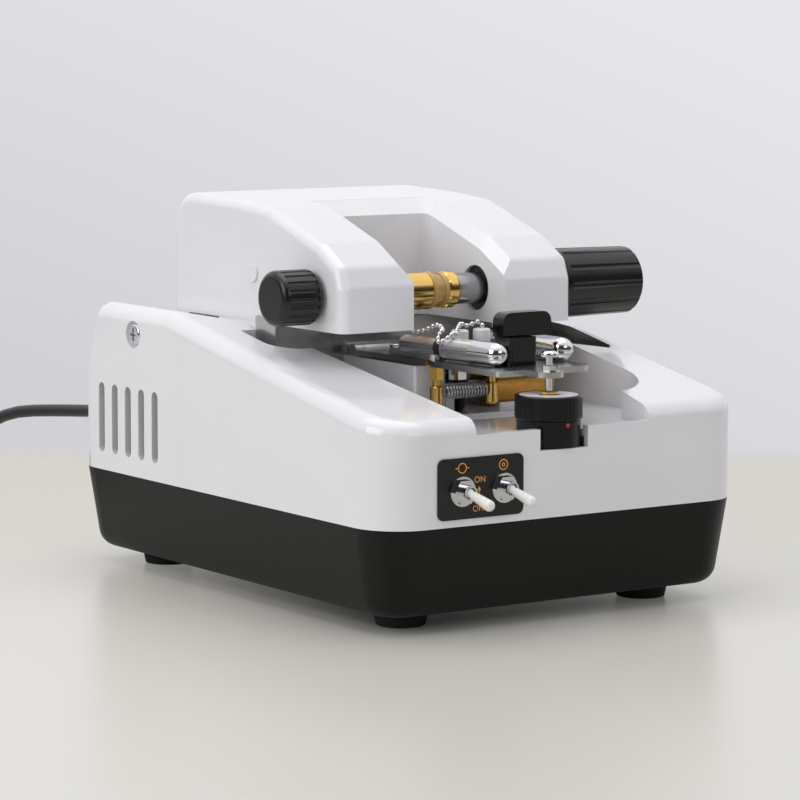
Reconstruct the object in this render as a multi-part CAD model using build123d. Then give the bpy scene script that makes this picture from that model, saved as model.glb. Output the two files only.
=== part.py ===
from build123d import *
import math
import os

# Lens groover, in millimetres. +X runs to the right along the front of the machine, +Y to the rear,
# +Z up, with the rubber feet standing on Z = 0. The machine is built about the middle of its lens head
# and then moved so that the origin lies under the middle of the whole object.

# Clearances
SCREW_GAP = 0.2                # a screw in its hole, on the radius
SEAT_GAP = 0.3                 # a moving piece and its seat
RUNNING_GAP = 0.05             # a shaft in its bush, on the radius

# Case
CASE_W = 199.0                 # width of the case at the parting line
CASE_D = 271.0                 # depth of the case at the parting line
CASE_MID_X = 4.5               # the head sits a little left of the middle of the case
CASE_MID_Y = 6.5
CASE_CORNER_R = 22.0           # plan corner radius
PARTING_Z = 47.0               # where the white top sits on the black base
TUB_BOTTOM_Z = 7.5             # underside of the black base
TUB_TAPER = 9.0                # draft of the black base, degrees
TUB_EDGE_R = 9.0               # round-over at the underside
TUB_WALL = 3.0
TOP_WALL = 3.0                 # wall of the white top
TOP_REAR_Z = 127.0             # height of the cheeks over the hinge
TOP_REAR_FLAT_Y = 52.0         # the cheeks start to slope down in front of this
TOP_FRONT_Z = 92.0             # height of the cheeks at the front
TOP_KNEE_IN = 5.5              # the rear face leans in by this much up to the knee
TOP_KNEE_Z = 89.0
TOP_REAR_IN = 23.5             # and by this much at the top
TOP_EDGE_R = 8.0               # soft rounding along the cheeks
TOP_TILT = 4.0                 # the rear tops of the cheeks fall by this much towards the head
FRONT_Y = CASE_MID_Y - CASE_D / 2
REAR_Y = CASE_MID_Y + CASE_D / 2

# Trough between the cheeks
TROUGH_FRONT_HALF_W = 47.0
TROUGH_LEFT_X = 57.0
TROUGH_LEFT_Y = -14.0
TROUGH_RIGHT_X = 50.0
TROUGH_RIGHT_Y = -105.0
TROUGH_REAR_HALF_W = 65.6
TROUGH_FLOOR_Z = 84.0
TROUGH_SHELF_Z = 100.0         # floor under the head, at the rear
TROUGH_SHELF_Y = 18.0
TROUGH_REAR_Y = 102.6
REAR_GAP_Z = 106.0             # low sill behind the head, which leaves it room to swing
DRAIN = (-15.0, 39.7, -72.0, -53.0)   # recess in the trough floor under the spring: X and Y limits
DRAIN_DEPTH = 5.0
SCOOP_X = 75.0                 # hand scoops in both cheeks
LEFT_SCOOP_Y = 0.0
RIGHT_SCOOP_Y = -75.0
LIP_Z = 86.0                   # top of the low front wall
LIP_DEPTH = 4.0                # the floor starts this far behind the front face
NOTCH_W = 26.0
NOTCH_Z = 76.7

# Vents, feet and screws of the case
VENT_COUNT = 5
VENT_PITCH = 12.5
VENT_FIRST_Y = 62.3
VENT_LOW_Z = 55.5
VENT_HIGH_Z = 89.0
VENT_W = 5.5
FOOT_D = 25.0
FOOT_TAPER = 1.5
FOOT_H = TUB_BOTTOM_Z
FOOT_EDGE_R = 1.0
FOOT_X = 66.5                  # from the middle of the case, as the screws
FOOT_Y = 100.0
CASE_SCREW_X = 78.0
CASE_SCREW_Y = 100.0
CASE_SCREW_D = 4.0
CASE_SCREW_HEAD_D = 8.0
CASE_SCREW_HEAD_T = 3.0
CASE_SCREW_L = 25.0
CASE_SCREW_SLOT_L = 6.0
SCREW_SLOT_W = 1.0              # driver slots, also in the stop screw
CASE_BOSS_D = 9.0
SCREW_SEAT_Z = 25.0
SCREW_SEAT_T = 3.0

# Switches on the front
PLATE_X = -45.0
PLATE_Z = 63.5
PLATE_W = 45.0
PLATE_H = 26.5
PLATE_T = 0.8
PLATE_R = 3.0
SWITCH_X = (-55.0, -33.0)
SWITCH_Z = 62.3
SWITCH_BODY_W = 12.0
SWITCH_BODY_H = 18.0
TERMINAL_PITCH = 5.0
TERMINAL_D = 1.2
TERMINAL_L = 4.0
BUSHING_D = 6.5
BUSHING_OUT = 7.5              # how far the bushing stands out of the panel
BUSHING_WALL = 0.75
NUT_AF = 10.0
NUT_T = 2.2
WASHER_D = 13.0
WASHER_T = 0.8
LEVER_PIVOT_IN = 1.5           # the lever's ball sits this far inside the bushing's mouth
LEVER_BALL_D = 4.4
LEVER_NECK_D = 2.6
LEVER_NECK_L = 3.4
LEVER_D = 5.0
LEVER_CAP_STEP = 0.6           # the cap starts this much thinner
LEVER_L = 17.5
LEVER_DOWN = 14.0              # degrees below level when off

# Head, which swings up about the rear pivot
HEAD_HALF_W = 64.0
HEAD_BOTTOM_Z = 123.5
HEAD_FRONT_Y = -49.6
HEAD_REAR_Y = 98.3
HEAD_ROOF = [(-49.4, 143.4), (-45.8, 152.9), (-29.5, 162.3), (12.1, 176.4), (36.0, 178.6), (80.0, 180.2),
             (88.4, 179.1), (93.1, 174.5), (97.5, 161.4)]
HEAD_WALL = 3.0
HEAD_EDGE_R = 5.0
THROAT_HALF_W = 25.2
THROAT_REAR_Y = 14.0
THROAT_CORNER_R = 5.0
BEVEL_W = 6.0                  # bevel along the sides of the throat
BEVEL_DROP = 5.5
BEVEL_REAR_Y = 27.0            # the bevel behind the throat is flatter
BEVEL_REAR_Z = 177.7
PIVOT_Y = 82.0
PIVOT_Z = 114.3
PIVOT_D = 6.0
PIVOT_HEAD_D = 10.5
PIVOT_HEAD_T = 2.1
PIVOT_SLOT_L = 6.0
PIVOT_SLOT_W = 1.1
PIVOT_SLOT_DEPTH = 1.3
EAR_X = 56.0                   # middle of each hinge ear
EAR_T = 7.0
EAR_R = 8.0
BUSH_WALL = 2.0
BRACKET_T = 1.8
RECESS_D = 13.0                # round recess in the cheek for the pivot screw
RECESS_DEPTH = 2.2
BOSS_X = 44.0                  # bosses in the head for the screws of its bottom plate
BOSS_Y = (40.0, 66.0)
BOSS_SIZE = 12.0
BOSS_H = 14.0
HEAD_SCREW_D = 3.4
CAP_D = 9.0                    # plastic cap over a screw in the left side of the head
CAP_T = 1.2
CAP_Y = 24.8
CAP_Z = 145.9

# Lens shafts
LENS_Y = -26.0
LENS_Z = 138.7
LENS_X = 1.2                   # the two pads meet here
CHUCK_D = 17.0
CHUCK_LEFT_X = -26.5
PAD_GAP = 0.2
LEFT_PAD_D = 17.6
LEFT_PAD_T = 4.4
RIGHT_PAD_D = 16.4
RIGHT_PAD_T = 4.6
PAD_WAIST = 0.9                # the pads are drawn in where they meet
SPINDLE_D = 8.0
BUSH_D = 12.0
OUTER_BUSH_L = 7.0
INNER_BUSH_L = 10.0
INNER_BUSH_X = -31.0           # right end of the inner bush
LEFT_KNOB_D = 25.0
LEFT_KNOB_L = 21.5
LEFT_KNOB_FLUTES = 20
RIGHT_KNOB_D = 33.0
RIGHT_KNOB_END_D = 31.6
RIGHT_KNOB_L = 47.5
RIGHT_KNOB_FLUTES = 12
KNOB_GAP = 1.0                 # knob to head side
QUILL_D = 14.4
QUILL_X = 11.5
QUILL_L = 34.5
QUILL_SCREW_IN = 9.0           # depth of the bore for the clamp screw
STUB_D = 6.0
STUB_L = 16.0
SLEEVE_D = 21.0                # black bearing sleeve of the quill
SLEEVE_IN = 2.0                # set back from the face of the throat
SLEEVE_L = 10.0
CLAMP_SCREW_D = 10.0
CLAMP_NUT_D = 16.0
CLAMP_NUT_L = 8.0

# Lens drive
GEAR_MODULE = 1.0
GEAR_TEETH = 24
PINION_TEETH = 12
GEAR_T = 5.0
GEAR_X = -55.5
PINION_Y = LENS_Y + (GEAR_TEETH + PINION_TEETH) * GEAR_MODULE / 2
PINION_SHAFT_D = 3.0
GEARMOTOR_D = 18.0
GEARMOTOR_X = -49.5
GEARMOTOR_L = 20.0
GEARMOTOR_FLANGE_L = 8.0

# Guide plate over the grooving wheel
GUIDE_TOP_Z = 109.6
GUIDE_T = 2.6
GUIDE_LEFT_X = -19.5
GUIDE_RIGHT_X = 33.0
GUIDE_FRONT_Y = -107.5
GUIDE_REAR_Y = 8.0
GUIDE_TAB_R = 6.5
GUIDE_LEFT_R = 3.0
GUIDE_RIGHT_R = 8.0
GUIDE_SLOT_W = 4.0
GUIDE_SLOT_L = 28.0
HINGE_Y = 13.2
HINGE_PIN_D = 4.0
HINGE_KNUCKLE_D = 6.4
HINGE_LEFT_X = -11.5
HINGE_RIGHT_X = 22.5
HINGE_EAR_T = 5.0
GUIDE_LOW_Z = GUIDE_TOP_Z - GUIDE_T
HINGE_Z = GUIDE_TOP_Z - GUIDE_T / 2

# Pedestal in the trough
RISER_TOP_Z = GUIDE_LOW_Z - 0.8
RISER_LEFT_X = GUIDE_LEFT_X
RISER_RIGHT_X = 28.0
RISER_FRONT_RIGHT_X = -2.0
RISER_FRONT_Y = -42.0
RISER_STEP_Y = -12.0
RISER_REAR_Y = 16.8
RISER_WALL = 3.0
RISER_LEDGE_Z = 92.0
RISER_EDGE_R = 1.5

# Splash guard
GUARD_HALF_W = 69.0
GUARD_T = 0.8
GUARD_CORNER_R = 4.0
GUARD_REAR_Z = 122.5
GUARD_SIDE_Z = 127.0
GUARD_RIGHT_Z = 124.5            # lower on the right, under the long knob
GUARD_LEFT_Y = -2.0
GUARD_DEPTH = 120.0            # of the bent band before its sides are cut to shape
GUARD_WING = [(-41.0, 119.6), (-72.0, 113.4), (-72.0, 112.3), (-41.0, 111.8), (-6.0, 112.8)]  # Y and Z

# Grooving wheel
WHEEL_X = 6.5
WHEEL_Y = -31.0
WHEEL_Z = 95.5
WHEEL_D = 32.0
WHEEL_T = 1.0
WHEEL_SLOT_W = 6.0             # slot in the trough floor and the pedestal
WHEEL_HUB_D = 12.0
WHEEL_HUB_T = 2.5
WHEEL_SHAFT_D = 4.0
MOTOR_X = 26.0
MOTOR_D = 22.0
MOTOR_L = 34.0
MOTOR_CAP_L = 5.0
SADDLE_GAP_X = 5.0
SADDLE_WALL = 3.0
SADDLE_SILL = 2.0              # height of the saddle in front of the motor
MOTOR_NOSE_D = 7.0
MOTOR_NOSE_L = 2.0

# Guide arms
ARM_T = 2.4
ARM_HALF_W = 4.2
ARM_PIN_D = 3.5
ARM_Z = GUIDE_TOP_Z + SEAT_GAP
LEFT_PIVOT = (-14.0, -20.0)
RIGHT_PIVOT = (27.0, -20.0)
LEFT_POST = (-14.6, -52.0)
RIGHT_POST = (16.2, -52.0)
LEFT_ROLLER = (0.4, -49.0)
RIGHT_ROLLER = (12.6, -49.0)
ROD_D = 10.6
ROD_Z = ARM_Z + ROD_D / 2
ROD_CORE_D = 6.0
LEFT_ROD_REAR = (-16.0, -27.0)
LEFT_ROD_TIP = (-8.2, -95.2)
RIGHT_ROD_REAR = (29.4, -30.0)
RIGHT_ROD_TIP = (29.4, -92.5)
ADJUSTER_D = 8.6               # knurled barrel at the rear of the left handle
ADJUSTER_L = 26.0
RING_D = 9.2
RING_L = 5.0
ROLLER_D = 8.0
ROLLER_TOP_Z = 122.3
ROLLER_PIN_D = 3.0
ROLLER_CAP_T = 1.5             # the roller is closed above its pin
POST_D = 6.0
POST_NECK_D = 4.0
POST_COLLAR_H = 6.0
POST_WAIST_D = 3.6
POST_BOTTOM_Z = 88.0
POST_STEM_Z = 98.1
POST_SLOT_L = 10.0
POST_SLOT_W = 6.0
POST_SLOT_OUT = 1.5            # the slots reach outwards from the posts
SPRING_Z = 95.0
SPRING_D = 7.4
SPRING_WIRE = 0.8
SPRING_TURNS = 13
SPRING_END_TURNS = 0.5         # drawn out towards the post at each end
SPRING_END_L = 1.2
SPRING_END_R = 1.2
STANDOFF_AF = 8.0
STANDOFF_XY = (0.5, -47.0)
STANDOFF_Z = 99.6

# Ball chain lying over the left handle and the rollers
CHAIN_BALL_D = 2.2
CHAIN_LINK_D = 0.7
CHAIN_PITCH = 2.7
CHAIN_ROUTE = [(-14.5, -33.0, 121.2), (-11.0, -40.0, 122.6), (-9.4, -45.6, 124.6), (-10.6, -51.0, 123.2),
               (-15.0, -55.5, 122.2), (-18.6, -59.5, 118.6), (-16.8, -63.0, 120.3), (-11.8, -61.5, 122.3),
               (-7.6, -57.5, 121.2), (-4.6, -53.6, 122.4), (-0.5, -49.6, 124.1), (3.4, -46.6, 124.6),
               (7.0, -46.4, 123.6), (9.9, -47.6, 125.2), (12.6, -49.4, 123.8)]

# Sponge holder on the guide plate
HOLDER_LEFT_X = -3.5
HOLDER_RIGHT_X = 12.0
HOLDER_CAP_RIGHT_X = 23.0
HOLDER_FRONT_Y = -93.0
HOLDER_CAP_FRONT_Y = -88.0
HOLDER_REAR_Y = -80.0
HOLDER_SHOULDER_Z = 122.2
HOLDER_TOP_Z = 133.0

# Depth dial
DIAL_X = 1.0
DIAL_Y = -116.0
DIAL_D = 30.0
DIAL_TOP_Z = 99.4
DIAL_BOTTOM_Z = 88.8
DIAL_RIBS = 36
DIAL_RIB_D = 2.0
DIAL_RIB_OUT = 0.8
DIAL_RIB_END = 1.5
DIAL_BASE_D = 28.4
DIAL_STEM_D = 18.0
DIAL_STEM_L = 7.0
DIAL_EAR_HALF_W = 20.0         # the flange of the drum under the trough floor
DIAL_EAR_REAR = 18.0
DIAL_EAR_T = 3.0
DIAL_FACE_D = 26.0
DIAL_FACE_T = 0.4
DIAL_PIN_D = 5.0
DIAL_PIN_HEAD_D = 8.4
DIAL_PIN_HEAD_T = 1.0
STOP_SCREW_D = 3.0
STOP_SCREW_TOP_Z = 118.5
STOP_HEAD_D = 7.8
STOP_HEAD_T = 2.6
STOP_HEAD_R = 1.6
STOP_NUT_AF = 5.5
STOP_NUT_T = 2.4

# Supply parts inside the base
CORE_W = 50.0
CORE_D = 40.0
CORE_H = 42.0
CORE_Y = 60.0
BOARD_W = 70.0
BOARD_D = 70.0
BOARD_Y = -25.0
BOARD_Z = 6.0
BOARD_T = 1.6
COIL_SHARE_W = 0.64            # the winding's share of the core
COIL_SHARE_H = 0.56
CAPACITORS = [(-20, -40, 12, 20), (-4, -40, 12, 20), (12, -42, 8, 12), (-22, -10, 10, 14)]  # X, Y, D, height

# Cord: it leaves the rear wall, sags to the floor and ends in a coil with its plug beside it
CORD_D = 6.2
CORD_X = -60.0
CORD_Z = 69.0
CORD_FLOOR_Z = CORD_D / 2 + 0.1
GLAND_D = 15.0
GLAND_NECK_D = 11.0
GLAND_T = 4.0
RELIEF_END_D = 8.4
RELIEF_RIBS = 5
CORD_ROUTE = [(-60.0, 170.0, 66.7), (-61.5, 208.0, 63.6), (-71.0, 262.0, 58.2), (-70.0, 302.0, 35.0),
              (-60.0, 346.0, CORD_FLOOR_Z), (-54.0, 388.8, CORD_FLOOR_Z)]
COIL_ENTRY = (-54.0, 395.0, CORD_FLOOR_Z)
COIL_PITCH = CORD_D + 0.6      # from turn to turn, and from layer to layer
COIL_LAYER_TURNS = 3.25
COIL_INNER_R = 23.5
TAIL_ROUTE = [(0.0, 24.0, 0.0), (-4.0, 62.0, -3.6), (0.0, 98.0, -1.2)]   # aside, onward and up from the coil
PLUG_W = 24.0
PLUG_T = 17.2
PLUG_L = 30.0
PLUG_NECK_L = 16.0
PLUG_EDGE_R = 1.0
PLUG_RECESS_R = 17.5           # finger recess in each wide side
PLUG_RECESS_DEPTH = 1.5
BLADE_W = 6.35
BLADE_T = 1.5
BLADE_L = 17.0
BLADE_APART = 12.7

# The whole object, without its cord, for the place of the origin
LEVER_DOME_OUT = (LEVER_L - LEVER_D / 2) * math.cos(math.radians(LEVER_DOWN)) + LEVER_D / 2
LEVER_REACH = BUSHING_OUT - LEVER_PIVOT_IN + LEVER_DOME_OUT
SHIFT_X = -(CASE_MID_X - CASE_W / 2 + HEAD_HALF_W + KNOB_GAP + RIGHT_KNOB_L) / 2
SHIFT_Y = -(FRONT_Y - LEVER_REACH + REAR_Y) / 2


def at(x, y, z):
    return Location((x, y, z))


def rod_x(d, x0, x1, y, z):
    """A round bar along X from x0 to x1."""
    return Location(((x0 + x1) / 2, y, z), (0, 90, 0)) * Cylinder(d / 2, abs(x1 - x0))


def rod_y(d, y0, y1, x, z):
    """A round bar along Y from y0 to y1."""
    return Location((x, (y0 + y1) / 2, z), (90, 0, 0)) * Cylinder(d / 2, abs(y1 - y0))


def rod_z(d, z0, z1, x, y):
    """A round bar along Z from z0 to z1."""
    return Location((x, y, (z0 + z1) / 2)) * Cylinder(d / 2, abs(z1 - z0))


def lens_rod(d, x0, x1):
    """A round bar on the axis of the lens shafts."""
    return rod_x(d, x0, x1, LENS_Y, LENS_Z)


def wheel_rod(d, x0, x1):
    """A round bar on the axis of the grooving wheel."""
    return rod_x(d, x0, x1, WHEEL_Y, WHEEL_Z)


def block(x0, x1, y0, y1, z0, z1):
    return at((x0 + x1) / 2, (y0 + y1) / 2, (z0 + z1) / 2) * Box(abs(x1 - x0), abs(y1 - y0), abs(z1 - z0))


def hex_z(across_flats, z0, z1, x, y):
    """A hexagon bar along Z."""
    prism = extrude(RegularPolygon(across_flats / math.sqrt(3), 6), amount=z1 - z0)
    return at(x, y, z0) * prism


def rims(shape):
    return shape.edges().filter_by(GeomType.CIRCLE)


def group(shapes):
    """Separate solids of one kind, kept together."""
    return Compound([solid for shape in shapes for solid in shape.solids()])


def side_profile(points, half_width, inset=0.0):
    """A closed outline in the YZ plane, drawn in by inset, then out to both sides by half_width."""
    face = make_face(Polyline(*points, close=True))
    if inset:
        face = offset(face, amount=-inset, kind=Kind.INTERSECTION)
    return extrude(Plane.YZ * face, amount=half_width, both=True)


def rounded_body(points, half_width, radius, inset, plan=None):
    """A form whose edges are all rounded: a sharp core, smaller by radius, swollen by radius less inset."""
    core = side_profile(points, half_width - radius, radius)
    if plan is not None:
        width, depth, corner, middle = plan
        sheet = RectangleRounded(width - 2 * radius, depth - 2 * radius, corner - radius)
        core = core & extrude(at(0, middle, 0) * sheet, amount=2 * TOP_REAR_Z)
    return offset(core, amount=radius - inset, kind=Kind.ARC)


# Case shells

def tub_body(inset):
    """The tapered base with its rounded underside, drawn in by inset."""
    top = RectangleRounded(CASE_W - 2 * inset, CASE_D - 2 * inset, CASE_CORNER_R - inset)
    depth = PARTING_Z - TUB_BOTTOM_Z - inset
    body = extrude(at(CASE_MID_X, CASE_MID_Y, PARTING_Z) * top, amount=-depth, taper=TUB_TAPER)
    return fillet(body.edges().group_by(Axis.Z)[0], TUB_EDGE_R - inset)


def case_screw_places():
    sides = (-1, 1)
    return [(CASE_MID_X + sx * CASE_SCREW_X, CASE_MID_Y + sy * CASE_SCREW_Y) for sx in sides for sy in sides]


def make_base_tub():
    """The black base: a tapered tub with four screw wells rising from its floor."""
    tub = tub_body(0) - tub_body(TUB_WALL)
    for x, y in case_screw_places():
        well = rod_z(CASE_SCREW_HEAD_D + 6, TUB_BOTTOM_Z, SCREW_SEAT_Z + SCREW_SEAT_T, x, y)
        tub += well & tub_body(TUB_WALL / 2)
        tub -= rod_z(CASE_SCREW_HEAD_D + 2 * SEAT_GAP, 0, SCREW_SEAT_Z, x, y)
        tub -= rod_z(CASE_SCREW_D + 2 * SCREW_GAP, 0, PARTING_Z, x, y)
    return tub


def make_feet():
    """Four turned rubber feet, wider at the top than where they stand."""
    feet = []
    for x in (-FOOT_X, FOOT_X):
        for y in (-FOOT_Y, FOOT_Y):
            foot = Cone(FOOT_D / 2 - FOOT_TAPER, FOOT_D / 2, FOOT_H)
            foot = fillet(foot.edges().group_by(Axis.Z)[0], FOOT_EDGE_R)
            feet.append(at(CASE_MID_X + x, CASE_MID_Y + y, FOOT_H / 2) * foot)
    return group(feet)


def make_case_screws():
    """Four pan-head screws that hold the white top to the base from below."""
    screws = []
    low = SCREW_SEAT_Z - CASE_SCREW_HEAD_T
    for x, y in case_screw_places():
        head = rod_z(CASE_SCREW_HEAD_D, low, SCREW_SEAT_Z, x, y)
        slot = at(x, y, low) * Box(CASE_SCREW_SLOT_L, SCREW_SLOT_W, 2 * SCREW_SLOT_W)
        screws.append(head + rod_z(CASE_SCREW_D, SCREW_SEAT_Z, SCREW_SEAT_Z + CASE_SCREW_L, x, y) - slot)
    return group(screws)


def top_body(inset):
    """The outer form of the white top: cheek profile, plan corners and soft edges all round."""
    low = PARTING_Z - 3 * TOP_EDGE_R
    points = [(FRONT_Y, low), (FRONT_Y, TOP_FRONT_Z), (TOP_REAR_FLAT_Y, TOP_REAR_Z),
              (REAR_Y - TOP_REAR_IN, TOP_REAR_Z), (REAR_Y - TOP_KNEE_IN, TOP_KNEE_Z), (REAR_Y, PARTING_Z),
              (REAR_Y, low)]
    plan = (CASE_W, CASE_D, CASE_CORNER_R, CASE_MID_Y)
    body = at(CASE_MID_X, 0, 0) * rounded_body(points, CASE_W / 2, TOP_EDGE_R, inset, plan)
    high = TOP_REAR_Z - inset
    side = CASE_W / 2 - TOP_EDGE_R
    half = TROUGH_REAR_HALF_W
    tilted = make_face(Polyline((CASE_MID_X - side, high), (-half, high - TOP_TILT), (half, high - TOP_TILT),
                                (CASE_MID_X + side, high), (CASE_MID_X + side, 2 * high),
                                (CASE_MID_X - side, 2 * high), close=True))
    body -= extrude(Plane.XZ * tilted, amount=CASE_D, both=True)
    return body & block(-CASE_W, CASE_W, -CASE_D, CASE_D, PARTING_Z, 2 * TOP_REAR_Z)


def rear_face_y(z):
    """How far back the rear face of the white top lies at a height below its knee."""
    return REAR_Y - TOP_KNEE_IN * (z - PARTING_Z) / (TOP_KNEE_Z - PARTING_Z)


def trough(outset):
    """The space between the cheeks, grown by outset for the walls round it."""
    with BuildSketch() as plan:
        with BuildLine():
            Polyline((-TROUGH_LEFT_X, TROUGH_LEFT_Y), (-TROUGH_FRONT_HALF_W, FRONT_Y + LIP_DEPTH),
                     (TROUGH_FRONT_HALF_W, FRONT_Y + LIP_DEPTH), (TROUGH_RIGHT_X, TROUGH_RIGHT_Y))
            TangentArc((SCOOP_X, RIGHT_SCOOP_Y), (TROUGH_RIGHT_X, TROUGH_RIGHT_Y), tangent=(0, -1))
            Polyline((SCOOP_X, RIGHT_SCOOP_Y), (SCOOP_X, TROUGH_SHELF_Y), (-SCOOP_X, TROUGH_SHELF_Y),
                     (-SCOOP_X, LEFT_SCOOP_Y))
            TangentArc((-SCOOP_X, LEFT_SCOOP_Y), (-TROUGH_LEFT_X, TROUGH_LEFT_Y), tangent=(0, -1))
        make_face()
    sheet = plan.sketch
    if outset:
        sheet = offset(sheet, amount=outset, kind=Kind.INTERSECTION)
    front = extrude(Plane.XY.offset(TROUGH_FLOOR_Z - outset) * sheet, amount=TOP_REAR_Z)
    half = TROUGH_REAR_HALF_W + outset
    rear = block(-half, half, TROUGH_SHELF_Y - outset, TROUGH_REAR_Y + outset, TROUGH_SHELF_Z - outset,
                 2 * TOP_REAR_Z)
    gap = block(-half, half, TROUGH_REAR_Y - 1, REAR_Y + 1, REAR_GAP_Z - outset, 2 * TOP_REAR_Z)
    low = TROUGH_FLOOR_Z - DRAIN_DEPTH - outset
    x0, x1, y0, y1 = DRAIN
    drain = block(x0 - outset, x1 + outset, y0 - outset, y1 + outset, low, TROUGH_FLOOR_Z + 1)
    return front + rear + gap + drain


def vent_slots():
    """The slots through both sides of the case, near the rear."""
    slot = Plane.YZ * SlotOverall(VENT_HIGH_Z - VENT_LOW_Z, VENT_W, rotation=90)
    inner = CASE_W / 2 - 3 * TOP_WALL
    cutter = extrude(slot, amount=CASE_W, both=True)
    cutter -= block(-inner, inner, -VENT_W, VENT_W, -VENT_HIGH_Z, VENT_HIGH_Z)
    middle = (VENT_LOW_Z + VENT_HIGH_Z) / 2
    return [at(CASE_MID_X, VENT_FIRST_Y + i * VENT_PITCH, middle) * cutter for i in range(VENT_COUNT)]


def make_top_casing():
    """The white moulded top: two cheeks, the trough, front notch, vents and screw bosses."""
    shell = top_body(0) - (top_body(TOP_WALL) - trough(TOP_WALL)) - trough(0)
    rim = FRONT_Y + LIP_DEPTH + 1
    shell -= block(-TROUGH_FRONT_HALF_W, TROUGH_FRONT_HALF_W, FRONT_Y - 1, rim, LIP_Z, TOP_REAR_Z)
    shell -= block(-NOTCH_W / 2, NOTCH_W / 2, FRONT_Y - 1, rim, NOTCH_Z, LIP_Z + 1)
    shell -= rod_z(DIAL_BASE_D + 2 * SEAT_GAP, NOTCH_Z, LIP_Z + 1, DIAL_X, DIAL_Y)
    shell -= vent_slots()
    for side in (-1, 1):
        outer = CASE_MID_X + side * CASE_W / 2
        wall = side * TROUGH_REAR_HALF_W
        tube = rod_x(RECESS_D + 2 * TOP_WALL, wall + side * TOP_WALL / 2, outer, PIVOT_Y, PIVOT_Z)
        shell += tube & top_body(TOP_WALL / 2)
        shell -= rod_x(RECESS_D, outer + side, outer - side * RECESS_DEPTH, PIVOT_Y, PIVOT_Z)
        shell -= rod_x(PIVOT_D + 2 * SCREW_GAP, outer, wall - side, PIVOT_Y, PIVOT_Z)
    for x, y in case_screw_places():
        boss = rod_z(CASE_BOSS_D, SCREW_SEAT_Z + SCREW_SEAT_T, TOP_REAR_Z, x, y)
        inside = top_body(TOP_WALL / 2) + block(-CASE_W, CASE_W, -CASE_D, CASE_D, 0, PARTING_Z)
        shell += boss & inside
        shell -= rod_z(CASE_SCREW_D, SCREW_SEAT_Z, SCREW_SEAT_Z + CASE_SCREW_L + 1, x, y)
    for x in SWITCH_X:
        shell -= rod_y(BUSHING_D + 2 * SCREW_GAP, FRONT_Y - 1, FRONT_Y + 2 * TOP_WALL, x, SWITCH_Z)
    reach = WHEEL_D / 2 + 2
    shell -= block(WHEEL_X - WHEEL_SLOT_W / 2, WHEEL_X + WHEEL_SLOT_W / 2, WHEEL_Y - reach, WHEEL_Y + reach,
                   NOTCH_Z, LIP_Z)
    return shell - rod_y(GLAND_NECK_D + 4 * SCREW_GAP, REAR_Y - 12, REAR_Y + 1, CORD_X, CORD_Z)


# Switches

def make_switch_plate():
    """The black label plate, with a hole for each switch."""
    sheet = RectangleRounded(PLATE_W, PLATE_H, PLATE_R)
    plate = Location((PLATE_X, FRONT_Y, PLATE_Z), (90, 0, 0)) * extrude(sheet, amount=PLATE_T)
    for x in SWITCH_X:
        plate -= rod_y(BUSHING_D + 2 * SCREW_GAP, FRONT_Y - 2, FRONT_Y + 1, x, SWITCH_Z)
    return plate


def make_switch_bodies():
    """Two toggle switches: a box behind the panel and a hollow bushing through it."""
    bodies = []
    inside = FRONT_Y + TOP_WALL
    mouth = FRONT_Y - BUSHING_OUT
    half = SWITCH_BODY_W / 2
    for x in SWITCH_X:
        body = block(x - half, x + half, inside, inside + SWITCH_BODY_W, SWITCH_Z - SWITCH_BODY_H / 2,
                     SWITCH_Z + SWITCH_BODY_H / 2)
        body += rod_y(BUSHING_D, inside + 1, mouth, x, SWITCH_Z)
        body -= rod_y(BUSHING_D - 2 * BUSHING_WALL, mouth - 1, mouth + LEVER_PIVOT_IN + 3, x, SWITCH_Z)
        back = inside + SWITCH_BODY_W
        for dz in (-TERMINAL_PITCH, 0, TERMINAL_PITCH):
            body += rod_y(TERMINAL_D, back - 1, back + TERMINAL_L, x, SWITCH_Z + dz)
        bodies.append(body)
    return group(bodies)


def make_switch_nuts():
    """A flat washer and a hexagon nut for each switch, against the label plate."""
    y = FRONT_Y - PLATE_T
    prism = extrude(RegularPolygon(NUT_AF / math.sqrt(3), 6), amount=NUT_T)
    pieces = []
    for x in SWITCH_X:
        hole = rod_y(BUSHING_D, FRONT_Y, y - 5, x, SWITCH_Z)
        pieces.append(rod_y(WASHER_D, y, y - WASHER_T, x, SWITCH_Z) - hole)
        pieces.append(Location((x, y - WASHER_T, SWITCH_Z), (90, 0, 0)) * prism - hole)
    return group(pieces)


def make_toggle(x):
    """A toggle lever: a ball in the bushing, a thin neck and a rounded plastic cap, set to off."""
    r = LEVER_D / 2
    with BuildSketch(Plane.XZ) as half:
        with BuildLine():
            Polyline((0, LEVER_L), (0, 0), (LEVER_NECK_D / 2, 0), (LEVER_NECK_D / 2, LEVER_NECK_L),
                     (r - LEVER_CAP_STEP, LEVER_NECK_L), (r, LEVER_L - r))
            RadiusArc((r, LEVER_L - r), (0, LEVER_L), -r)
        make_face()
    stick = revolve(half.sketch, Axis.Z) + Sphere(LEVER_BALL_D / 2)
    pivot_y = FRONT_Y - BUSHING_OUT + LEVER_PIVOT_IN
    return Location((x, pivot_y, SWITCH_Z), (90 + LEVER_DOWN, 0, 0)) * stick


# Depth dial

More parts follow.
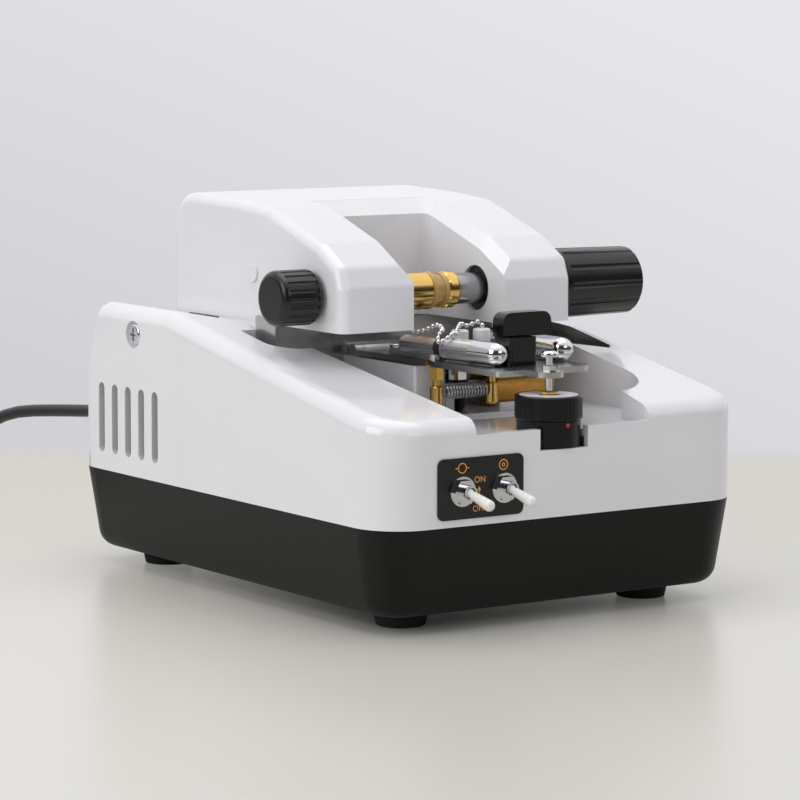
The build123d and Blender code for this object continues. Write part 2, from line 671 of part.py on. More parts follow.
def make_dial_base():
    """The fixed drum under the dial, with a stem below and the ears that seat it under the trough floor."""
    low = NOTCH_Z + SEAT_GAP
    under = TROUGH_FLOOR_Z - TOP_WALL
    drum = rod_z(DIAL_BASE_D, low, DIAL_BOTTOM_Z - SEAT_GAP, DIAL_X, DIAL_Y)
    ears = block(DIAL_X - DIAL_EAR_HALF_W, DIAL_X + DIAL_EAR_HALF_W, FRONT_Y + TOP_WALL + SEAT_GAP,
                 DIAL_Y + DIAL_EAR_REAR, under - DIAL_EAR_T, under)
    stem = rod_z(DIAL_STEM_D, low - DIAL_STEM_L, low, DIAL_X, DIAL_Y)
    bore = rod_z(DIAL_PIN_D + 2 * RUNNING_GAP, low, DIAL_TOP_Z, DIAL_X, DIAL_Y)
    return drum + ears + stem - bore


def make_depth_dial():
    """The turned dial with shallow grip flutes and a recess for its face disc."""
    dial = rod_z(DIAL_D, DIAL_BOTTOM_Z, DIAL_TOP_Z, DIAL_X, DIAL_Y)
    dial = chamfer(rims(dial), 0.5)
    notch = rod_z(DIAL_RIB_D, DIAL_BOTTOM_Z + DIAL_RIB_END, DIAL_TOP_Z - DIAL_RIB_END,
                  DIAL_D / 2 + DIAL_RIB_OUT, 0)
    dial -= [at(DIAL_X, DIAL_Y, 0) * Rot(0, 0, i * 360 / DIAL_RIBS) * notch for i in range(DIAL_RIBS)]
    dial -= rod_z(DIAL_FACE_D, DIAL_TOP_Z - DIAL_FACE_T, DIAL_TOP_Z + 1, DIAL_X, DIAL_Y)
    return dial - rod_z(DIAL_PIN_D + 2 * RUNNING_GAP, DIAL_BOTTOM_Z - 1, DIAL_TOP_Z + 1, DIAL_X, DIAL_Y)


def make_dial_face():
    """The thin scale disc let into the top of the dial."""
    disc = rod_z(DIAL_FACE_D, DIAL_TOP_Z - DIAL_FACE_T, DIAL_TOP_Z, DIAL_X, DIAL_Y)
    return disc - rod_z(DIAL_PIN_HEAD_D + 1, 0, 2 * DIAL_TOP_Z, DIAL_X, DIAL_Y)


def make_dial_pin():
    """The brass lifting pin in the middle of the dial."""
    top = DIAL_TOP_Z + SEAT_GAP
    pin = rod_z(DIAL_PIN_D, NOTCH_Z + 2 * SEAT_GAP, top, DIAL_X, DIAL_Y)
    return pin + rod_z(DIAL_PIN_HEAD_D, top, top + DIAL_PIN_HEAD_T, DIAL_X, DIAL_Y)


# Guide plate and what it carries

def make_guide_plate():
    """The steel plate over the wheel, with slots, a tab for the stop screw and a hinge tube behind."""
    mid_x = (GUIDE_LEFT_X + GUIDE_RIGHT_X) / 2
    mid_y = (GUIDE_FRONT_Y + GUIDE_REAR_Y) / 2
    with BuildSketch() as outline:
        with Locations((mid_x, mid_y)):
            Rectangle(GUIDE_RIGHT_X - GUIDE_LEFT_X, GUIDE_REAR_Y - GUIDE_FRONT_Y)
        front = outline.vertices().group_by(Axis.Y)[0].sort_by(Axis.X)
        fillet(front[0], GUIDE_LEFT_R)
        front = outline.vertices().group_by(Axis.Y)[0].sort_by(Axis.X)
        fillet(front[-1], GUIDE_RIGHT_R)
        with Locations((DIAL_X, (DIAL_Y + GUIDE_FRONT_Y) / 2 + 2)):
            Rectangle(2 * GUIDE_TAB_R, GUIDE_FRONT_Y - DIAL_Y + 4)
        with Locations((DIAL_X, DIAL_Y)):
            Circle(GUIDE_TAB_R)
            Circle(STOP_SCREW_D / 2, mode=Mode.SUBTRACT)
        with Locations((WHEEL_X, WHEEL_Y)):
            SlotOverall(GUIDE_SLOT_L, GUIDE_SLOT_W, rotation=90, mode=Mode.SUBTRACT)
        with Locations((LEFT_POST[0] - POST_SLOT_OUT, LEFT_POST[1]),
                       (RIGHT_POST[0] + POST_SLOT_OUT, RIGHT_POST[1])):
            SlotOverall(POST_SLOT_L, POST_SLOT_W, mode=Mode.SUBTRACT)
        with Locations(LEFT_PIVOT, RIGHT_PIVOT):
            Circle(ARM_PIN_D / 2, mode=Mode.SUBTRACT)
    plate = extrude(Plane.XY.offset(GUIDE_LOW_Z) * outline.sketch, amount=GUIDE_T)
    plate += block(HINGE_LEFT_X, HINGE_RIGHT_X, GUIDE_REAR_Y, HINGE_Y, GUIDE_LOW_Z, GUIDE_TOP_Z)
    plate += rod_x(HINGE_KNUCKLE_D, HINGE_LEFT_X, HINGE_RIGHT_X, HINGE_Y, HINGE_Z)
    bore = HINGE_PIN_D + 2 * RUNNING_GAP
    return plate - rod_x(bore, HINGE_LEFT_X - 1, HINGE_RIGHT_X + 1, HINGE_Y, HINGE_Z)


def make_plate_hinge():
    """Two steel ears on the pedestal and the pin between them, on which the guide plate tips up."""
    ears = []
    r = HINGE_KNUCKLE_D / 2
    for x0, x1 in ((HINGE_LEFT_X - SEAT_GAP - HINGE_EAR_T, HINGE_LEFT_X - SEAT_GAP),
                   (HINGE_RIGHT_X + SEAT_GAP, HINGE_RIGHT_X + SEAT_GAP + HINGE_EAR_T)):
        ear = block(x0, x1, HINGE_Y - r, HINGE_Y + r, RISER_TOP_Z, HINGE_Z)
        ear += rod_x(HINGE_KNUCKLE_D, x0, x1, HINGE_Y, HINGE_Z)
        ear -= rod_x(HINGE_PIN_D, x0 - 1, x1 + 1, HINGE_Y, HINGE_Z)
        ears.append(ear & block(x0 - 1, x1 + 1, HINGE_Y - 2 * r, HINGE_Y + 2 * r, RISER_TOP_Z, 2 * HINGE_Z))
    reach = SEAT_GAP + HINGE_EAR_T
    return group(ears + [rod_x(HINGE_PIN_D, HINGE_LEFT_X - reach, HINGE_RIGHT_X + reach, HINGE_Y, HINGE_Z)])


def motor_saddle():
    """The saddle that holds the wheel motor."""
    x0 = MOTOR_X + SADDLE_GAP_X
    x1 = MOTOR_X + MOTOR_L - MOTOR_CAP_L - SADDLE_WALL
    half = MOTOR_D / 2 + SADDLE_WALL
    saddle = block(x0, x1, WHEEL_Y - half / 2, WHEEL_Y, TROUGH_FLOOR_Z, TROUGH_FLOOR_Z + SADDLE_SILL)
    saddle += block(x0, x1, WHEEL_Y, WHEEL_Y + half, TROUGH_FLOOR_Z, WHEEL_Z - 3)
    saddle += block(x0, x1, WHEEL_Y + half - 1, RISER_REAR_Y, TROUGH_FLOOR_Z, TROUGH_FLOOR_Z + 2)
    return saddle - wheel_rod(MOTOR_D, x0 - 1, x1 + 1)


def make_pedestal():
    """The white pedestal in the trough: hollow, stepped in front, slotted for the wheel, with a saddle."""
    z0 = TROUGH_FLOOR_Z
    riser = block(RISER_LEFT_X, RISER_RIGHT_X, RISER_STEP_Y, RISER_REAR_Y, z0, RISER_TOP_Z)
    riser += block(RISER_LEFT_X, RISER_FRONT_RIGHT_X, RISER_FRONT_Y, RISER_STEP_Y, z0, RISER_TOP_Z)
    corners = riser.edges().filter_by(Axis.Z)
    riser = fillet(corners.group_by(Axis.Y)[0] + corners.sort_by(Axis.X)[-1:], RISER_EDGE_R)
    riser += block(RISER_FRONT_RIGHT_X, WHEEL_X - 4, RISER_FRONT_Y, RISER_STEP_Y, z0, RISER_LEDGE_Z)
    roof = RISER_TOP_Z - RISER_WALL
    w = RISER_WALL
    riser -= block(RISER_LEFT_X + w, RISER_RIGHT_X - w, RISER_STEP_Y + w, RISER_REAR_Y - w, z0, roof)
    riser -= block(RISER_LEFT_X + w, RISER_FRONT_RIGHT_X - w, RISER_FRONT_Y + w, RISER_STEP_Y + w, z0, roof)
    groove = HINGE_KNUCKLE_D + 1.2
    riser -= rod_x(groove, HINGE_LEFT_X - SEAT_GAP, HINGE_RIGHT_X + SEAT_GAP, HINGE_Y, HINGE_Z)
    reach = WHEEL_D / 2 + 1
    riser -= block(WHEEL_X - WHEEL_SLOT_W / 2, WHEEL_X + WHEEL_SLOT_W / 2, WHEEL_Y - reach, WHEEL_Y + reach,
                   0, TOP_REAR_Z)
    return riser + motor_saddle()


def make_splash_guard():
    """The thin steel band standing round the back and sides of the working space."""
    rear = TROUGH_SHELF_Y - SEAT_GAP
    z0 = TROUGH_FLOOR_Z
    ring = RectangleRounded(2 * GUARD_HALF_W, GUARD_DEPTH, GUARD_CORNER_R)
    ring -= RectangleRounded(2 * (GUARD_HALF_W - GUARD_T), GUARD_DEPTH - 2 * GUARD_T,
                             GUARD_CORNER_R - GUARD_T)
    band = at(0, rear - GUARD_DEPTH / 2, z0) * extrude(ring, amount=GUARD_SIDE_Z - z0)
    bend = rear - GUARD_CORNER_R
    inner = GUARD_HALF_W - GUARD_CORNER_R
    keep = block(-inner, inner, bend, rear, z0, GUARD_REAR_Z)
    keep += block(-GUARD_HALF_W, -inner, GUARD_LEFT_Y, rear, z0, GUARD_SIDE_Z)
    right = [(rear, z0), (rear, GUARD_RIGHT_Z)] + GUARD_WING + [(0, z0)]
    face = Plane.YZ.offset(inner) * make_face(Polyline(*right, close=True))
    keep += extrude(face, amount=GUARD_CORNER_R)
    return band & keep


def make_stop_screw():
    """The adjusting screw whose tip rests on the lifting pin of the dial."""
    tip = DIAL_TOP_Z + DIAL_PIN_HEAD_T + 2 * SEAT_GAP
    screw = rod_z(STOP_SCREW_D, tip, STOP_SCREW_TOP_Z - 1.5, DIAL_X, DIAL_Y)
    head = rod_z(STOP_HEAD_D, STOP_SCREW_TOP_Z - STOP_HEAD_T, STOP_SCREW_TOP_Z, DIAL_X, DIAL_Y)
    head = fillet(head.edges().group_by(Axis.Z)[-1], STOP_HEAD_R)
    slot = at(DIAL_X, DIAL_Y, STOP_SCREW_TOP_Z) * Box(2 * STOP_HEAD_D, SCREW_SLOT_W, 2 * SCREW_SLOT_W)
    return screw + head - slot


def make_stop_nut():
    """The lock nut of the adjusting screw."""
    nut = hex_z(STOP_NUT_AF, GUIDE_TOP_Z, GUIDE_TOP_Z + STOP_NUT_T, DIAL_X, DIAL_Y)
    return nut - rod_z(STOP_SCREW_D, 0, 2 * GUIDE_TOP_Z, DIAL_X, DIAL_Y)


def make_sponge_holder():
    """The black holder that stands on the guide plate between the handles."""
    stem = block(HOLDER_LEFT_X, HOLDER_RIGHT_X, HOLDER_FRONT_Y, HOLDER_REAR_Y, GUIDE_TOP_Z,
                 HOLDER_SHOULDER_Z)
    stem = fillet(stem.edges().filter_by(Axis.Z), 2)
    cap = block(HOLDER_LEFT_X, HOLDER_CAP_RIGHT_X, HOLDER_CAP_FRONT_Y, HOLDER_REAR_Y, HOLDER_SHOULDER_Z,
                HOLDER_TOP_Z)
    cap = fillet(cap.edges().filter_by(Axis.Y).group_by(Axis.Z)[-1], 4.5)
    return stem + cap


def make_centre_standoff():
    """A brass hexagon standoff under the guide plate."""
    return hex_z(STANDOFF_AF, STANDOFF_Z, GUIDE_LOW_Z, *STANDOFF_XY)


def link(start, end):
    """A flat strip with round ends from one place to another."""
    dx = end[0] - start[0]
    dy = end[1] - start[1]
    turn = math.degrees(math.atan2(dy, dx))
    middle = Location(((start[0] + end[0]) / 2, (start[1] + end[1]) / 2, 0), (0, 0, turn))
    return middle * SlotCenterToCenter(math.hypot(dx, dy), 2 * ARM_HALF_W)


def arm_lever(route):
    """The flat lever of a guide arm, as rounded links from place to place, drilled for its pivot pin."""
    sheet = Sketch() + [link(start, end) for start, end in zip(route, route[1:])]
    lever = extrude(Plane.XY.offset(ARM_Z) * sheet, amount=ARM_T)
    return lever - rod_z(ARM_PIN_D + 2 * RUNNING_GAP, 0, 2 * ARM_Z, *route[0])


def rod_place(rear, tip):
    """Where a handle starts, pointing to its tip, and how long it is."""
    way = Vector(tip[0] - rear[0], tip[1] - rear[1], 0)
    return Plane(origin=(rear[0], rear[1], ROD_Z), x_dir=(0, 0, 1), z_dir=way).location, way.length


def domed_bar(d, start, end):
    """A round bar along Z with a domed end."""
    bar = at(0, 0, (start + end - d / 2) / 2) * Cylinder(d / 2, end - d / 2 - start)
    return bar + at(0, 0, end - d / 2) * Sphere(d / 2)


def roller_stud(roller):
    """The pin that a roller is pushed onto."""
    return rod_z(ROLLER_PIN_D, ARM_Z, ROLLER_TOP_Z - ROLLER_CAP_T - SEAT_GAP, *roller)


def make_left_handle():
    """The left guide arm: lever, roller pin, knurled adjuster barrel and polished handle."""
    place, length = rod_place(LEFT_ROD_REAR, LEFT_ROD_TIP)
    barrel = at(0, 0, ADJUSTER_L / 2) * Cylinder(ADJUSTER_D / 2, ADJUSTER_L)
    barrel = fillet(barrel.edges().group_by(Axis.Z)[0], ADJUSTER_D * 0.4)
    core = at(0, 0, ADJUSTER_L) * Cylinder(ROD_CORE_D / 2, 4 * RING_L)
    ring_room = at(0, 0, ADJUSTER_L + RING_L / 2) * (Cylinder(RING_D / 2, RING_L))
    arm = arm_lever([LEFT_PIVOT, LEFT_POST, LEFT_ROLLER]) + roller_stud(LEFT_ROLLER)
    arm += place * (barrel + domed_bar(ROD_D, ADJUSTER_L + RING_L, length))
    return arm - place * ring_room + place * core


def make_right_handle():
    """The right guide arm: lever, roller pin and polished handle."""
    place, length = rod_place(RIGHT_ROD_REAR, RIGHT_ROD_TIP)
    elbow = (RIGHT_ROD_REAR[0], RIGHT_POST[1])
    arm = arm_lever([RIGHT_PIVOT, elbow, RIGHT_POST, RIGHT_ROLLER]) + roller_stud(RIGHT_ROLLER)
    return arm + place * domed_bar(ROD_D, 0, length)


def make_grip_ring():
    """The black rubber ring between the adjuster barrel and the handle."""
    place = rod_place(LEFT_ROD_REAR, LEFT_ROD_TIP)[0]
    ring = Cylinder(RING_D / 2, RING_L) - Cylinder(ROD_CORE_D / 2, 2 * RING_L)
    return place * at(0, 0, ADJUSTER_L + RING_L / 2) * ring


def make_roller(place):
    """A nylon roller, closed above its pin."""
    roller = rod_z(ROLLER_D, ARM_Z + ARM_T + SEAT_GAP, ROLLER_TOP_Z, *place)
    roller = chamfer(rims(roller), 0.6)
    return roller - rod_z(ROLLER_PIN_D + 2 * RUNNING_GAP, 0, ROLLER_TOP_Z - ROLLER_CAP_T, *place)


def make_post(place):
    """A brass spring post: neck through the plate, hexagon collar, waist and lower stem."""
    under = GUIDE_LOW_Z - SEAT_GAP
    collar_z = under - POST_COLLAR_H
    stem = rod_z(POST_D, POST_BOTTOM_Z, POST_STEM_Z, *place)
    stem = chamfer(rims(stem), 0.8)
    post = stem + rod_z(POST_WAIST_D, POST_STEM_Z - 1, collar_z, *place)
    return post + hex_z(POST_D, collar_z, under, *place) + rod_z(POST_NECK_D, under, ARM_Z, *place)


def make_arm_pins():
    """Two pan-head pins on which the guide arms swing."""
    pins = []
    top = ARM_Z + ARM_T + SEAT_GAP
    for place in (LEFT_PIVOT, RIGHT_PIVOT):
        head = rod_z(ARM_PIN_D + 4, top, top + 1.8, *place)
        head = fillet(head.edges().group_by(Axis.Z)[-1], 1.0)
        pins.append(head + rod_z(ARM_PIN_D, GUIDE_LOW_Z, top, *place))
    return group(pins)


def make_ball_chain():
    """The ball chain: hollow beads closed round short links, lying in loops."""
    line = Spline(*CHAIN_ROUTE)
    count = int(line.length / CHAIN_PITCH)
    places = [line @ (i / count) for i in range(count + 1)]
    chain = Part() + [at(*place) * Sphere(CHAIN_BALL_D / 2) for place in places]
    for start, end in zip(places, places[1:]):
        reach = (end - start).length
        chain += along(start, end) * at(0, 0, reach / 2) * Cylinder(CHAIN_LINK_D / 2, reach)
    return chain


# Wound forms

def biarc(p0, t0, p1, t1):
    """Two arcs from p0 to p1 that keep the given directions at both ends."""
    span = p1 - p0
    a = 2 * (1 - t0.dot(t1))
    b = span.dot(t0 + t1)
    c = span.dot(span)
    reach = c / (2 * b) if a < 1e-9 else (-b + math.sqrt(b * b + a * c)) / a
    q0 = p0 + t0 * reach
    q1 = p1 - t1 * reach
    middle = (q0 + q1) * 0.5
    return [Edge.make_tangent_arc(p0, t0, middle), Edge.make_tangent_arc(middle, (q1 - q0).normalized(), p1)]


def winding(place_at, turns, steps=4):
    """The biarcs, a quarter turn each, along a winding whose place is known after any number of turns."""
    edges = []
    h = 1e-4
    for i in range(int(round(turns * steps))):
        ends = (i / steps, (i + 1) / steps)
        points = [place_at(t) for t in ends]
        ways = [(place_at(t + h) - place_at(t - h)).normalized() for t in ends]
        edges += biarc(points[0], ways[0], points[1], ways[1])
    return edges


def tube(edges, d):
    """An unbroken round tube along a line of edges."""
    return sweep(Plane(origin=edges[0] @ 0, z_dir=edges[0] % 0) * Circle(d / 2), path=Wire(edges))


def least_gap(place_at, turns, d):
    """The least clear space between turns that lie at least half a turn apart, measured on points."""
    steps = 24
    points = [place_at(i / steps) for i in range(int(turns * steps) + 1)]
    apart = [(p - q).length for i, p in enumerate(points) for q in points[i + steps // 2:]]
    return min(apart) - d


def make_arm_spring():
    """The wound tension spring between the arms; half a turn at each end is drawn out to its post."""
    left = LEFT_POST[0] + POST_D / 2 + SEAT_GAP + SPRING_WIRE / 2
    right = RIGHT_POST[0] - POST_D / 2 - SEAT_GAP - SPRING_WIRE / 2
    r = (SPRING_D - SPRING_WIRE) / 2
    pitch = (right - left - 2 * SPRING_END_L) / SPRING_TURNS
    turns_in_all = SPRING_TURNS + 2 * SPRING_END_TURNS

    def place_at(turns):
        begun = min(turns, SPRING_END_TURNS) / SPRING_END_TURNS
        ended = max(turns - SPRING_END_TURNS - SPRING_TURNS, 0) / SPRING_END_TURNS
        close = min(max(turns - SPRING_END_TURNS, 0), SPRING_TURNS)
        drawn = max(1 - begun, ended)
        radius = r - (r - SPRING_END_R) * drawn * drawn
        angle = 2 * math.pi * turns
        x = left + SPRING_END_L * (begun + ended) + pitch * close
        return Vector(x, LEFT_POST[1] + radius * math.cos(angle), SPRING_Z + radius * math.sin(angle))

    gap = least_gap(place_at, turns_in_all, SPRING_WIRE)
    print(f"arm spring: {SPRING_TURNS} turns, least gap {gap:.2f} mm")
    return tube(winding(place_at, turns_in_all), SPRING_WIRE)


# Grooving wheel and its motor

def make_wheel():
    """The thin diamond-coated grooving wheel."""
    disc = wheel_rod(WHEEL_D, WHEEL_X - WHEEL_T / 2, WHEEL_X + WHEEL_T / 2)
    return disc - wheel_rod(WHEEL_SHAFT_D, 0, MOTOR_X)


def make_wheel_arbor():
    """The motor shaft and the two flanges that clamp the wheel on it."""
    pieces = [wheel_rod(WHEEL_SHAFT_D, WHEEL_X - WHEEL_T / 2 - WHEEL_HUB_T - 1, MOTOR_X + 8)]
    for side in (-1, 1):
        x0 = WHEEL_X + side * WHEEL_T / 2
        hub = wheel_rod(WHEEL_HUB_D, x0, x0 + side * WHEEL_HUB_T)
        pieces.append(chamfer(rims(hub), 0.4) - wheel_rod(WHEEL_SHAFT_D, 0, MOTOR_X))
    return group(pieces)


def make_wheel_motor():
    """The wheel motor: a yellow can with a rear cap, lying along X."""
    split = MOTOR_X + MOTOR_L - MOTOR_CAP_L
    can = wheel_rod(MOTOR_D, MOTOR_X, split)
    can = chamfer(rims(can), 0.8)
    cap = wheel_rod(MOTOR_D - 1.6, split, MOTOR_X + MOTOR_L)
    nose = wheel_rod(MOTOR_NOSE_D, MOTOR_X - MOTOR_NOSE_L, MOTOR_X)
    return can + cap + nose - wheel_rod(WHEEL_SHAFT_D + 2 * RUNNING_GAP, MOTOR_X - 3, MOTOR_X + 8.5)


# Head

def head_body(inset):
    """The outer form of the head, from its side profile, with every edge rounded."""
    low = HEAD_BOTTOM_Z - 3 * HEAD_EDGE_R
    points = [(HEAD_FRONT_Y, low)] + HEAD_ROOF + [(HEAD_REAR_Y, low)]
    body = rounded_body(points, HEAD_HALF_W, HEAD_EDGE_R, inset)
    return body & block(-CASE_W, CASE_W, -CASE_D, CASE_D, HEAD_BOTTOM_Z, 2 * HEAD_BOTTOM_Z)


def throat(outset):
    """The gap between the arms of the head."""
    half = THROAT_HALF_W + outset
    rear = THROAT_REAR_Y + outset
    depth = rear - HEAD_FRONT_Y + 2 * THROAT_CORNER_R
    sheet = RectangleRounded(2 * half, depth, THROAT_CORNER_R)
    return at(0, rear - depth / 2, 0) * extrude(sheet, amount=2 * HEAD_BOTTOM_Z)


def throat_bevel():
    """What the bevel along the top of the throat takes away, following the roof line."""
    half = THROAT_HALF_W
    roof = HEAD_ROOF[1:4] + [(BEVEL_REAR_Y, BEVEL_REAR_Z)]
    sides = Part()
    for (y0, z0), (y1, z1) in zip([(HEAD_FRONT_Y - 5, HEAD_ROOF[1][1] - 5)] + roof[1:], roof[1:]):
        wide = half + BEVEL_W
        face = make_face(Polyline((-wide, z0), (-half, z0 - BEVEL_DROP), (half, z0 - BEVEL_DROP), (wide, z0),
                                  (wide, z0 + 20), (-wide, z0 + 20), close=True))
        way = Vector(0, y1 - y0, z1 - z0)
        sides += extrude(Plane.XZ.offset(-y0) * face, amount=way.length, dir=way.normalized())
    lip = HEAD_ROOF[3][1] - BEVEL_DROP
    rear = side_profile([(-CASE_D, 0), (THROAT_REAR_Y, 0), (THROAT_REAR_Y, lip),
                         (BEVEL_REAR_Y, BEVEL_REAR_Z), (BEVEL_REAR_Y, 2 * lip), (-CASE_D, 2 * lip)], CASE_W)
    return sides & rear


def throat_wall():
    """The wall round the throat, made thicker behind the bevel."""
    depth = BEVEL_DROP + HEAD_WALL
    under = [(y, z - depth) for y, z in HEAD_ROOF[:5]] + [(HEAD_REAR_Y, HEAD_ROOF[4][1] - depth)]
    zone = side_profile(under + [(HEAD_REAR_Y, 2 * HEAD_BOTTOM_Z), (HEAD_ROOF[0][0], 2 * HEAD_BOTTOM_Z)],
                        HEAD_HALF_W)
    return throat(HEAD_WALL) + (throat(HEAD_WALL + BEVEL_W) & zone)


def make_head_shell():
    """The white head: two arms joined at the rear, a bevelled throat, and tubes for the lens shafts."""
    cavity = head_body(HEAD_WALL)
    floor = block(-CASE_W, CASE_W, -CASE_D, CASE_D, HEAD_BOTTOM_Z - 1, HEAD_BOTTOM_Z + HEAD_EDGE_R)
    cavity += head_body(HEAD_WALL) & floor
    shell = head_body(0) - (cavity - throat_wall()) - throat(0) - throat_bevel()
    side = HEAD_HALF_W
    inner = THROAT_HALF_W + HEAD_WALL
    bush_left = INNER_BUSH_X - INNER_BUSH_L
    shell += lens_rod(BUSH_D + 5, -side + 1, -side + OUTER_BUSH_L)
    shell -= lens_rod(BUSH_D, -side - 1, -side + OUTER_BUSH_L + 1)
    shell += lens_rod(BUSH_D + 5, bush_left, -inner + 1)
    shell -= lens_rod(BUSH_D, bush_left - 1, -inner + 2)
    shell -= lens_rod(CHUCK_D + 4 * SEAT_GAP, CHUCK_LEFT_X - 2 * SEAT_GAP, 0)
    sleeve_end = THROAT_HALF_W + SLEEVE_IN + SLEEVE_L
    shell += lens_rod(SLEEVE_D + 4, inner - 1, sleeve_end)
    shell -= lens_rod(SLEEVE_D, 0, sleeve_end + 1)
    shell += lens_rod(CLAMP_NUT_D + 5, side - CLAMP_NUT_L, side - 1)
    shell -= lens_rod(CLAMP_NUT_D, side - CLAMP_NUT_L - 1, side + 1)
    top = HEAD_BOTTOM_Z + BRACKET_T
    for x in (-BOSS_X, BOSS_X):
        rib_end = x / BOSS_X * (side - HEAD_WALL / 2)
        for y in BOSS_Y:
            boss = at(x, y, top + BOSS_H / 2) * Box(BOSS_SIZE, BOSS_SIZE, BOSS_H)
            boss += block(x, rib_end, y - 1.5, y + 1.5, top, top + BOSS_H)
            shell += boss
            shell -= rod_z(HEAD_SCREW_D, top - 1, top + BOSS_H - 3, x, y)
    return shell


def make_head_bracket():
    """The steel bottom plate of the head, with two hinge ears folded down from it."""
    top = HEAD_BOTTOM_Z + BRACKET_T
    slab = block(-CASE_W, CASE_W, -CASE_D, CASE_D, HEAD_BOTTOM_Z, top)
    plate = (head_body(HEAD_WALL + SCREW_GAP) & slab) - throat(HEAD_WALL + SCREW_GAP)
    for side in (-1, 1):
        x0 = side * EAR_X - EAR_T / 2
        x1 = side * EAR_X + EAR_T / 2
        plate += block(x0, x1, PIVOT_Y - EAR_R, PIVOT_Y + EAR_R, PIVOT_Z, HEAD_BOTTOM_Z + 0.1)
        plate += rod_x(2 * EAR_R, x0, x1, PIVOT_Y, PIVOT_Z)
        plate -= rod_x(PIVOT_D + 2 * RUNNING_GAP + 2 * BUSH_WALL, x0 - 1, x1 + 1, PIVOT_Y, PIVOT_Z)
        for y in BOSS_Y:
            plate -= rod_z(HEAD_SCREW_D + 2 * SCREW_GAP, 0, 2 * top, side * BOSS_X, y)
    return plate


def make_head_screws():
    """Four screws that hold the bottom plate in the head from below."""
    screws = []
    for x in (-BOSS_X, BOSS_X):
        for y in BOSS_Y:
            head = rod_z(6.5, HEAD_BOTTOM_Z - 2, HEAD_BOTTOM_Z, x, y)
            screws.append(head + rod_z(HEAD_SCREW_D, HEAD_BOTTOM_Z, HEAD_BOTTOM_Z + BOSS_H - 3, x, y))
    return group(screws)


def make_pivot_bushes():
    """A bronze bush in each hinge ear."""
    inner = PIVOT_D + 2 * RUNNING_GAP
    bushes = []
    for side in (-1, 1):
        x0 = side * EAR_X - EAR_T / 2
        x1 = side * EAR_X + EAR_T / 2
        bush = rod_x(inner + 2 * BUSH_WALL, x0, x1, PIVOT_Y, PIVOT_Z)
        bushes.append(bush - rod_x(inner, x0 - 1, x1 + 1, PIVOT_Y, PIVOT_Z))
    return group(bushes)


def make_pivot_screws():
    """The two shoulder screws through the cheeks, on which the head swings."""
    screws = []
    half_l = PIVOT_SLOT_L / 2
    half_w = PIVOT_SLOT_W / 2
    for side in (-1, 1):
        seat = CASE_MID_X + side * (CASE_W / 2 - RECESS_DEPTH)
        face = seat + side * PIVOT_HEAD_T
        head = rod_x(PIVOT_HEAD_D, seat, face, PIVOT_Y, PIVOT_Z)
        head = fillet(rims(head).sort_by(Axis.X)[-1 if side > 0 else 0], 1.4)
        screw = head + rod_x(PIVOT_D, seat, side * (EAR_X - EAR_T / 2 - 1.5), PIVOT_Y, PIVOT_Z)
        for dy, dz in ((half_l, half_w), (half_w, half_l)):
            screw -= block(face - side * PIVOT_SLOT_DEPTH, face + side, PIVOT_Y - dy, PIVOT_Y + dy,
                           PIVOT_Z - dz, PIVOT_Z + dz)
        screws.append(screw)
    return group(screws)


def make_screw_cap():
    """The small plastic cap that covers a screw on the left side of the head."""
    cap = rod_x(CAP_D, -HEAD_HALF_W - CAP_T, -HEAD_HALF_W, CAP_Y, CAP_Z)
    return fillet(rims(cap).sort_by(Axis.X)[0], 0.5)


# Lens shafts in the head

def make_drive_bushes():
    """The two bronze bushes that carry the driven lens shaft."""
    side = -HEAD_HALF_W
    left = INNER_BUSH_X - INNER_BUSH_L
    bore = lens_rod(SPINDLE_D + 2 * RUNNING_GAP, side, 0)
    outer = lens_rod(BUSH_D, side + 0.5, side + OUTER_BUSH_L) - bore
    return group([outer, lens_rod(BUSH_D, left, INNER_BUSH_X) - bore])


def make_drive_spindle():
    """The steel lens shaft from the turning knob to the left chuck."""
    return lens_rod(SPINDLE_D, -HEAD_HALF_W - KNOB_GAP - LEFT_KNOB_L + 6, CHUCK_LEFT_X + 6)


def make_drive_chuck():
    """The brass chuck on the driven shaft."""
    chuck = lens_rod(CHUCK_D, CHUCK_LEFT_X, LENS_X - PAD_GAP / 2 - LEFT_PAD_T)
    chuck = chamfer(rims(chuck), 0.5)
    return chuck - lens_rod(SPINDLE_D, CHUCK_LEFT_X - 1, CHUCK_LEFT_X + 6)


def make_pad(side, thickness, d):
    """A soft pad that grips the lens: a disc with rounded rims and a narrower gripping face."""
    face = LENS_X + side * PAD_GAP / 2
    neck = face + side * thickness * 0.45
    pad = fillet(rims(lens_rod(d, neck, face + side * thickness)), 0.8)
    return pad + lens_rod(d - 2 * PAD_WAIST, face, neck + side)


def gear_x(teeth, y, bore, turn):
    """A spur gear on an axis along X, with straight-flanked teeth thinned for backlash."""
    r = teeth * GEAR_MODULE / 2
    root = r - 1.25 * GEAR_MODULE
    tip = r + 0.9 * GEAR_MODULE
    pitch = 2 * math.pi / teeth
    corners = ((root, -0.32), (tip, -0.1), (tip, 0.1), (root, 0.32))
    points = [(radius * math.cos((i + share) * pitch), radius * math.sin((i + share) * pitch))
              for i in range(teeth) for radius, share in corners]
    disc = extrude(Rot(0, 0, turn) * make_face(Polyline(*points, close=True)), amount=GEAR_T)
    disc -= Cylinder(bore / 2, 3 * GEAR_T)
    return Plane(origin=(GEAR_X, y, LENS_Z), x_dir=(0, 1, 0), z_dir=(1, 0, 0)).location * disc


def make_spindle_gear():
    """The gear on the driven lens shaft, with a tooth on the line to the pinion."""
    return gear_x(GEAR_TEETH, LENS_Y, SPINDLE_D, 0)


